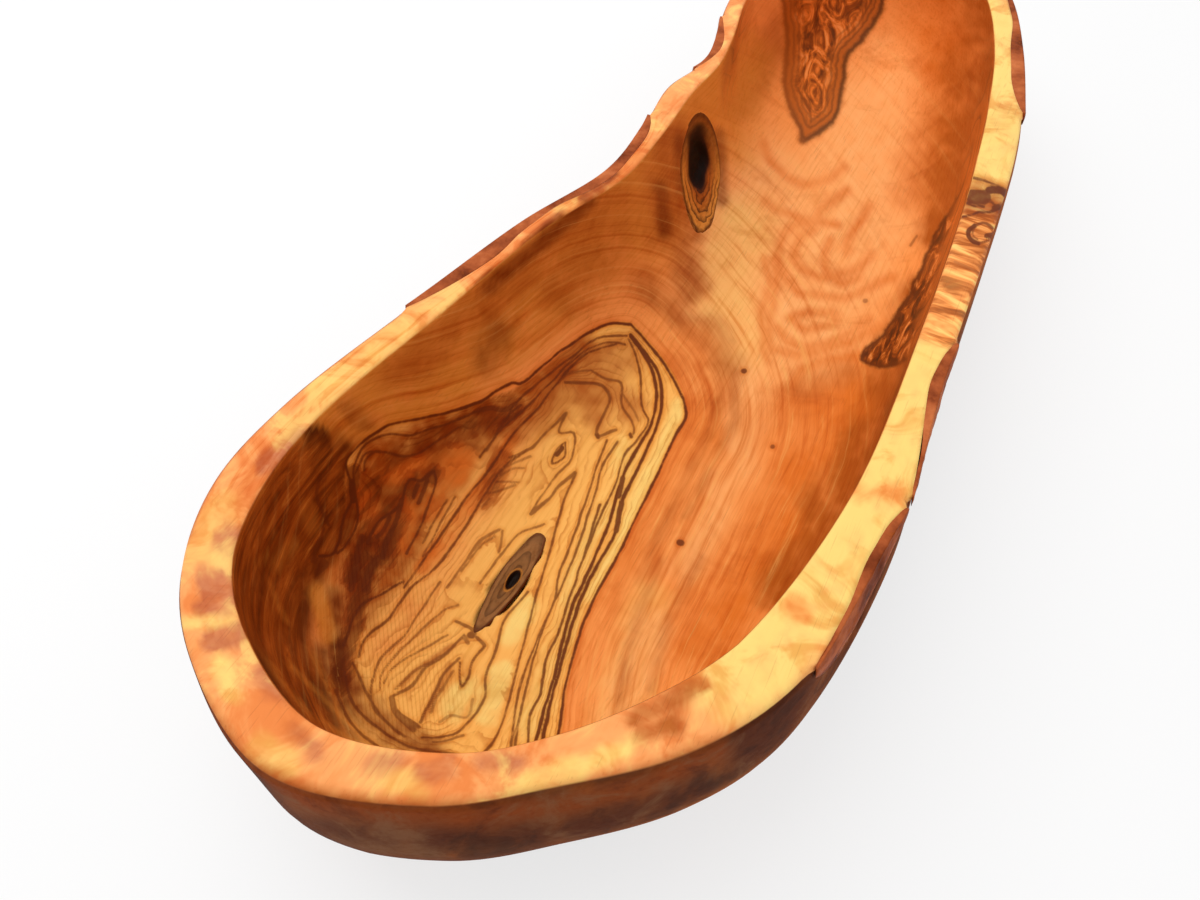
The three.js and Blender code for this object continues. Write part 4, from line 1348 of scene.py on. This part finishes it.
# %% Olive wood, fine lines of growth
FAR_GROWTH, NEAR_GROWTH = -8.0, -3.0  # the bands round the heart fade between these levels
level_here = mark(tree, "growth")
heart_here = step_up(tree, mark(tree, "heart"), 0.0, 3.0)
fine = use_group(tree, ring_group, {"Vector": picture, "Distance": level_here, "Spacing": 0.34,
                                    "Wobble": 0.6, "Wobble scale": 3.5, "Width": 0.5})
patchy = step_up(tree, noise_at(tree, picture, 2.6, 3.0, 0.6), 0.36, 0.6)
fine_dark = product(tree, fine["Line"], patchy, heart_here)
wood = darker(tree, product(tree, fine_dark, 0.7), wood, (0.66, 0.46, 0.3))
by_heart = step_up(tree, level_here, FAR_GROWTH, NEAR_GROWTH)
off_heart = product(tree, sums(tree, "SUBTRACT", 1.0, heart_here), mark(tree, "inside"))
band_wander = product(tree, noise_at(tree, picture, 1.2, 2.0, 0.5, 0.4), 16.0)
bands = sums(tree, "SINE", sums(tree, "MULTIPLY_ADD", level_here, 3.0, band_wander))
band_patch = step_up(tree, noise_at(tree, picture, 1.7, 2.0, 0.5), 0.35, 0.65)
band_seen = product(tree, off_heart, by_heart, band_patch)
band_dark = product(tree, step_up(tree, bands, -0.6, 1.0), band_seen)
wood = darker(tree, band_dark, wood, (0.9, 0.78, 0.64))
floor_lines = use_group(tree, ring_group, {"Vector": picture, "Distance": level_here, "Spacing": 0.45,
                                           "Wobble": 0.9, "Wobble scale": 1.4, "Width": 0.7})
floor_dark = product(tree, floor_lines["Line"], band_seen)
wood = darker(tree, product(tree, floor_dark, 0.4), wood, (0.82, 0.64, 0.46))

# %% Olive wood, grain round the heart
GRAIN_FAR, GRAIN_NEAR = -18.0, -8.0  # the grain grows stronger between these levels
across = add_node(tree, "SeparateXYZ", {0: picture}).outputs
grain_place = add_node(tree, "CombineXYZ", {"X": product(tree, level_here, 2.4),
                                            "Y": product(tree, across["Y"], 0.8)}).outputs[0]
grain = noise_at(tree, grain_place, 1.0, 4.0, 0.68, 0.4)
grain_near = sums(tree, "MULTIPLY_ADD", step_up(tree, level_here, GRAIN_FAR, GRAIN_NEAR), 0.7, 0.3)
grain_seen = product(tree, off_heart, grain_near)
grain_dark = product(tree, step_up(tree, grain, 0.46, 0.72), grain_seen)
grain_pale = product(tree, step_up(tree, grain, 0.46, 0.28), grain_seen)
wood = darker(tree, grain_dark, wood, (0.82, 0.64, 0.46))
wood = mixed(tree, product(tree, grain_pale, 0.3), wood, HONEY)

# %% Olive wood, flames of the stain
FLAME_LEAN = math.radians(40)
flame_place = stretched(tree, turned(tree, picture, -FLAME_LEAN), (12, 2.4, 1))
flame = sums(tree, "SUBTRACT", noise_at(tree, flame_place, 1.0, 4.0, 0.6, 1.0), 0.5)
stained_here = mark(tree, "stained")
flame_way = sums(tree, "MULTIPLY_ADD", flame, 1.6, stained_here)
flame_way = product(tree, flame_way, step_up(tree, stained_here, 0.0, 0.3))
wood = darker(tree, step_up(tree, flame_way, 0.3, 0.5), wood, (0.76, 0.6, 0.46))
wood = mixed(tree, product(tree, step_up(tree, flame_way, 0.6, 0.85), 0.45), wood, UMBER)

# %% Olive wood, grain and painted shade on the near wall, and grain along the rim
skin_way = add_node(tree, "UVMap", uv_map="skin").outputs["UV"]
wall_grain = noise_at(tree, stretched(tree, skin_way, (24, 200, 1)), 1.0, 5.0, 0.62, 1.6)
wall_shade = ramp(tree, wall_grain, [(0.34, UMBER), (0.48, CHESTNUT), (0.6, RUSSET), (0.72, CARAMEL)])
wood = mixed(tree, product(tree, mark(tree, "near_wall_grain_and_shade"), 0.6), wood, wall_shade)
rim_grain = noise_at(tree, stretched(tree, skin_way, (22, 420, 1)), 1.0, 4.0, 0.6, 0.8)
rim_lines = product(tree, step_up(tree, rim_grain, 0.48, 0.64), mark(tree, "grained"))
wood = darker(tree, rim_lines, wood, (0.86, 0.66, 0.46))

# %% Olive wood, drawn lines and gouge marks
LATE_WOOD = linear(98, 38, 12)
ragged = sums(tree, "SUBTRACT", noise_at(tree, picture, 16.0, 2.0, 0.6), 0.5)
swelling = sums(tree, "SUBTRACT", noise_at(tree, picture, 3.0, 2.0, 0.5), 0.5)
line_way = sums(tree, "MULTIPLY_ADD", ragged, 1.4, mark(tree, "line_edge"))
line_way = sums(tree, "MULTIPLY_ADD", swelling, 1.8, line_way)
line_in = step_up(tree, line_way, -1.0, 0.7)
line_halo = product(tree, step_up(tree, line_way, -5.0, 0.2), mark(tree, "line_dark"))
wood = darker(tree, line_halo, wood, (0.86, 0.68, 0.48))
line_seen = product(tree, line_in, mark(tree, "line_dark"))
wood = mixed(tree, line_seen, wood, LATE_WOOD)
GOUGE_GAP = 0.042  # hundreds of pixels between two gouge marks
gouge_way = sums(tree, "MULTIPLY_ADD", across["Y"], -0.1, across["X"])
gouge_wave = sums(tree, "SINE", product(tree, gouge_way, 2 * math.pi / GOUGE_GAP))
gouge_dark = product(tree, step_up(tree, gouge_wave, 0.1, 1.0), mark(tree, "gouged"))
wood = darker(tree, product(tree, gouge_dark, 0.5), wood, (0.74, 0.6, 0.44))

# %% Olive wood, burl
wander = sums(tree, "SUBTRACT", noise_at(tree, picture, 4.0, 4.0, 0.6), 0.5)
burl_way = sums(tree, "MULTIPLY_ADD", wander, 12.0, mark(tree, "burl"))
BURL_RINGS = [(3.5, 4.0, 0.85), (11, 1.8, 0.5), (16, 1.8, 0.45), (22, 1.8, 0.35)]
BURL_SPAN = 40
BURL_LINE = linear(62, 30, 12)


def ring_ramp(tree, distance, rings, span):
    """Dark lines at set distances: place, half width and darkness of each."""
    stops = []
    for place_at, half, dark in rings:
        stops.append((max(0, place_at - half) / span, 0.0))
        stops.append(((place_at - 0.3 * half) / span, dark))
        stops.append(((place_at + 0.3 * half) / span, dark))
        stops.append(((place_at + half) / span, 0.0))
    return ramp(tree, sums(tree, "DIVIDE", distance, span), stops)


burl_rings = ring_ramp(tree, burl_way, BURL_RINGS, BURL_SPAN)
marble = noise_at(tree, stretched(tree, picture, (1.5, 0.8, 1)), 3.4, 3.0, 0.55, 2.6)
burl_shade = ramp(tree, marble, [(0.32, UMBER), (0.42, CHESTNUT), (0.5, RUSSET), (0.57, COPPER),
                                 (0.68, AMBER)])
burl_shade = mixed(tree, step_up(tree, burl_way, 26.0, 8.0), burl_shade, RUSSET)
BURL_LEFT, BURL_RIGHT = 7.75, 8.2  # its outline is soft on the left
burl_bound = sums(tree, "MULTIPLY_ADD", step_up(tree, across["X"], BURL_LEFT, BURL_RIGHT), 0.7, 0.3)
burl_shade = mixed(tree, product(tree, burl_rings, burl_bound), burl_shade, BURL_LINE)
wood = mixed(tree, product(tree, step_up(tree, burl_way, -3.0, 4.0), 0.92), wood, burl_shade)

# %% Olive wood, streak under the mouth's edge
STREAK_LEAN = math.radians(27)
streak_place = stretched(tree, turned(tree, picture, -STREAK_LEAN), (16, 4, 1))
streak_noise = noise_at(tree, streak_place, 1.0, 4.0, 0.6, 1.0)
streak_shade = ramp(tree, streak_noise, [(0.34, COCOA), (0.44, UMBER), (0.52, CHESTNUT), (0.58, RUSSET),
                                         (0.66, AMBER)])
streak_way = sums(tree, "MULTIPLY_ADD", wander, 12.0, mark(tree, "streak"))
streak_shade = mixed(tree, step_up(tree, streak_way, 7.0, 1.0), streak_shade, UMBER)
wood = mixed(tree, product(tree, step_up(tree, streak_way, -2.0, 2.0), 0.92), wood, streak_shade)

# %% Olive wood, mottled rim
mottle = noise_at(tree, place, 70.0, 4.0, 0.6, 0.8)
unlined = sums(tree, "SUBTRACT", 1.0, line_seen)
on_rim = product(tree, mark(tree, "rim"), unlined)
rim_dark = product(tree, step_up(tree, mottle, 0.52, 0.36), on_rim)
bright_tone = step_up(tree, add_node(tree, "RGBToBW", {0: tone_colour}).outputs[0], 0.15, 0.4)
rim_pale = product(tree, step_up(tree, mottle, 0.5, 0.66), on_rim, bright_tone)
wood = darker(tree, rim_dark, wood, (0.87, 0.64, 0.5))
wood = mixed(tree, product(tree, rim_pale, 0.6), wood, SAND)
stripes = noise_at(tree, stretched(tree, skin_way, (210, 40, 1)), 1.0, 3.0, 0.6, 0.7)
stripe_shade = ramp(tree, stripes, [(0.34, CHESTNUT), (0.44, RUSSET), (0.53, AMBER), (0.64, SAND)])
striped_here = product(tree, mark(tree, "striped"), unlined)
wood = mixed(tree, product(tree, striped_here, 0.8), wood, stripe_shade)

# %% Olive wood, mottled outside
weathered = noise_at(tree, place, 80.0, 5.0, 0.65, 0.6)
on_outside = mark(tree, "outside")
outside_dark = product(tree, step_up(tree, weathered, 0.52, 0.36), on_outside)
outside_pale = product(tree, step_up(tree, weathered, 0.52, 0.7), on_outside)
wood = darker(tree, outside_dark, wood, (0.6, 0.54, 0.46))
wood = mixed(tree, product(tree, outside_pale, 0.6), wood, EARTH)

# %% Olive wood, the sides that the photograph doesn't show
hidden_place = stretched(tree, place, (5, 22, 22))
hidden_way = noise_at(tree, hidden_place, 1.0, 2.0, 0.5, 0.4)
hidden_lines = use_group(tree, ring_group, {"Vector": place, "Distance": hidden_way, "Spacing": 0.05,
                                            "Wobble": 0.03, "Wobble scale": 60.0, "Width": 0.35})
hidden = ramp(tree, noise_at(tree, hidden_place, 0.8, 2.0, 0.5, 0.3),
              [(0.32, UMBER), (0.42, CHESTNUT), (0.52, RUSSET), (0.66, COPPER), (0.75, AMBER)])
hidden = mixed(tree, product(tree, hidden_lines["Line"], 0.6), hidden, UMBER)
hidden = darker(tree, product(tree, on_outside, 0.7), hidden, (0.46, 0.52, 0.6))
hidden_fibre = step_up(tree, fibre["Streak"], 0.5, 0.75)
hidden = mixed(tree, product(tree, hidden_fibre, 0.3), hidden, CHESTNUT)
wood = mixed(tree, mark(tree, "shown"), hidden, wood)
wood = mixed(tree, product(tree, fibre["Pores"], 0.14), wood, UMBER)

# %% Olive wood, oil sheen and touch
OIL_TINT = (1, 0.66, 0.38, 1)
WOOD_RELIEF, BARK_RELIEF = 0.0004, 0.0006  # metres
roughness = sums(tree, "MULTIPLY_ADD", fibre["Streak"], 0.2, 0.4)
roughness = sums(tree, "MULTIPLY_ADD", on_outside, 0.3, roughness)
relief = sums(tree, "MULTIPLY_ADD", fibre["Pores"], -0.6, fibre["Streak"])
dress(tree, shader, wood, roughness, relief, 0.12, WOOD_RELIEF, 0.14)
shader.inputs["Specular Tint"].default_value = OIL_TINT
bowl.data.materials.append(olive)
print("olive wood nodes:", len(tree.nodes))

# %% [markdown]
# ## Knot wood and bark
# A dead knot is nearly black at its pocket and ringed in brown. Bark is dull and dark red-brown, paler
# in patches and flecked with russet grit.

# %% Knot wood
PITCH = linear(22, 8, 2)
ASH = linear(160, 106, 58)
KNOT_CORE = linear(138, 90, 46)


def knot_material(name, ring_count, ring_top, ring_dark, core_shade, edge_shade, outline, gilded):
    """Rings of brown below a height, round a black pocket that may have a golden outline."""
    made, tree, shader = new_material(name)
    place = add_node(tree, "TexCoord").outputs["Object"]
    radius = mark(tree, "radius")
    lines = use_group(tree, ring_group, {"Vector": place, "Distance": radius, "Spacing": 1 / ring_count,
                                         "Wobble": 0.4, "Wobble scale": 130.0, "Width": 0.6})
    fibre = use_group(tree, fibre_group, {"Vector": place, "Along": 300.0, "Across": 600.0})
    shade = mixed(tree, step_up(tree, radius, 0.3, 0.95), core_shade, edge_shade)
    upright, pocket = mark(tree, "upright"), mark(tree, "pocket")
    under_top = step_up(tree, upright, ring_top, ring_top - 0.5)
    shade = mixed(tree, product(tree, lines["Line"], under_top, ring_dark), shade, COCOA)
    over_rings = step_up(tree, upright, ring_top - 0.4, ring_top + 0.4)
    shade = mixed(tree, product(tree, over_rings, 0.6), shade, UMBER)
    shade = darker(tree, step_up(tree, fibre["Streak"], 0.4, 0.7), shade, (0.72, 0.66, 0.6))
    golden = ramp(tree, pocket, [(0.0, 0.0), (0.1, gilded), (0.2, gilded), (0.45, 0.0)])
    shade = mixed(tree, step_up(tree, pocket, 0.0, 0.55), shade, COCOA)
    shade = mixed(tree, golden, shade, CARAMEL)
    shade = mixed(tree, step_up(tree, pocket, 0.35, 0.95), shade, PITCH)
    shade = mixed(tree, product(tree, step_up(tree, radius, 0.9, 1.0), outline), shade, UMBER)
    roughness = sums(tree, "MULTIPLY_ADD", fibre["Streak"], 0.3, 0.45)
    dress(tree, shader, shade, roughness, fibre["Streak"], 0.3, WOOD_RELIEF, 0.08)
    return made


wall_knot.data.materials.append(knot_material(
    "wall_knot_wood", ring_count=6, ring_top=0.2, ring_dark=0.75,
    core_shade=RUSSET, edge_shade=CARAMEL, outline=0.7, gilded=0.0,
))
floor_knot.data.materials.append(knot_material(
    "floor_knot_wood", ring_count=3, ring_top=2.0, ring_dark=0.5,
    core_shade=KNOT_CORE, edge_shade=ASH, outline=0.8, gilded=0.5,
))

# %% Bark
BARK_STOPS = [(0.28, UMBER), (0.4, linear(130, 58, 26)), (0.52, linear(172, 86, 44)),
              (0.68, linear(206, 116, 66))]

bark, tree, shader = new_material("bark_weathered")
place = add_node(tree, "TexCoord").outputs["Object"]
patches = noise_at(tree, place, 60.0, 5.0, 0.65)
grit = noise_at(tree, place, 500.0, 3.0, 0.6)
shade = ramp(tree, patches, BARK_STOPS)
shade = mixed(tree, product(tree, step_up(tree, grit, 0.55, 0.75), 0.35), shade, RUSSET)
roughness = sums(tree, "MULTIPLY_ADD", grit, 0.3, 0.5)
dress(tree, shader, shade, roughness, sums(tree, "ADD", grit, patches), 0.35, BARK_RELIEF, 0.06)
for strip in bark_strips:
    strip.data.materials.append(bark)
print("materials:", [material.name for material in bpy.data.materials])

# %% [markdown]
# ## Table and light
# The bowl stands on a plain pale table under one large soft lamp behind it to the left, with a soft fill
# from all round. The lamps are set so that a colour renders about as it is written.

# %% Table
TABLE_GLOW = 0.7  # share of plain white in the table that the camera sees
TABLE_SHADE, TABLE_ROUGHNESS = (0.9, 0.9, 0.9, 1), 0.6
TABLE_HALF = 4
WHITE = (1, 1, 1, 1)

table_grid = bmesh.new()
bmesh.ops.create_grid(table_grid, x_segments=1, y_segments=1, size=TABLE_HALF)
table_mesh = bpy.data.meshes.new("table_top")
table_grid.to_mesh(table_mesh)
table_grid.free()
table = bpy.data.objects.new("table_top", table_mesh)
bpy.context.collection.objects.link(table)
table_finish, tree, shader = new_material("table_white")
feed(tree, shader, {"Base Color": TABLE_SHADE, "Roughness": TABLE_ROUGHNESS})
glow = add_node(tree, "Emission", {"Color": WHITE, "Strength": 1.0})
glow_share = product(tree, seen_plainly(tree), TABLE_GLOW)
blend = add_node(tree, "MixShader", {0: glow_share, 1: shader.outputs[0], 2: glow.outputs[0]})
feed(tree, tree.nodes["Material Output"], {"Surface": blend.outputs[0]})
table_mesh.materials.append(table_finish)
table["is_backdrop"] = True

# %% Lamp and fill
LAMP_AT = Vector((0.08, 0.4, 1.0))
LAMP_SIZE = 0.9
LAMP_POWER = 6.5
FILL = 0.68

lamp_light = bpy.data.lights.new("soft_lamp", "AREA")
lamp_light.energy = LAMP_POWER
lamp_light.size = LAMP_SIZE
lamp = bpy.data.objects.new("soft_lamp", lamp_light)
lamp.matrix_world = Matrix.Translation(LAMP_AT) @ (-LAMP_AT).to_track_quat("-Z", "Y").to_matrix().to_4x4()
bpy.context.collection.objects.link(lamp)
world = bpy.data.worlds.new("soft_room")
bpy.context.scene.world = world
world.use_nodes = True
sky = world.node_tree
fill_here = sums(sky, "MULTIPLY_ADD", seen_plainly(sky), 1 - FILL, FILL)
feed(sky, sky.nodes["Background"], {"Color": WHITE, "Strength": fill_here})
bpy.context.scene.view_settings.view_transform = "Standard"
print("lamp power in watts:", LAMP_POWER)

# %% [markdown]
# ## Size
# The dressed bowl has to fill the same box as the solids.

# %% Print the dressed box
low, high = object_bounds()
print("dressed box in mm:", [round(1000 * v, 2) for v in (*low, *high)])
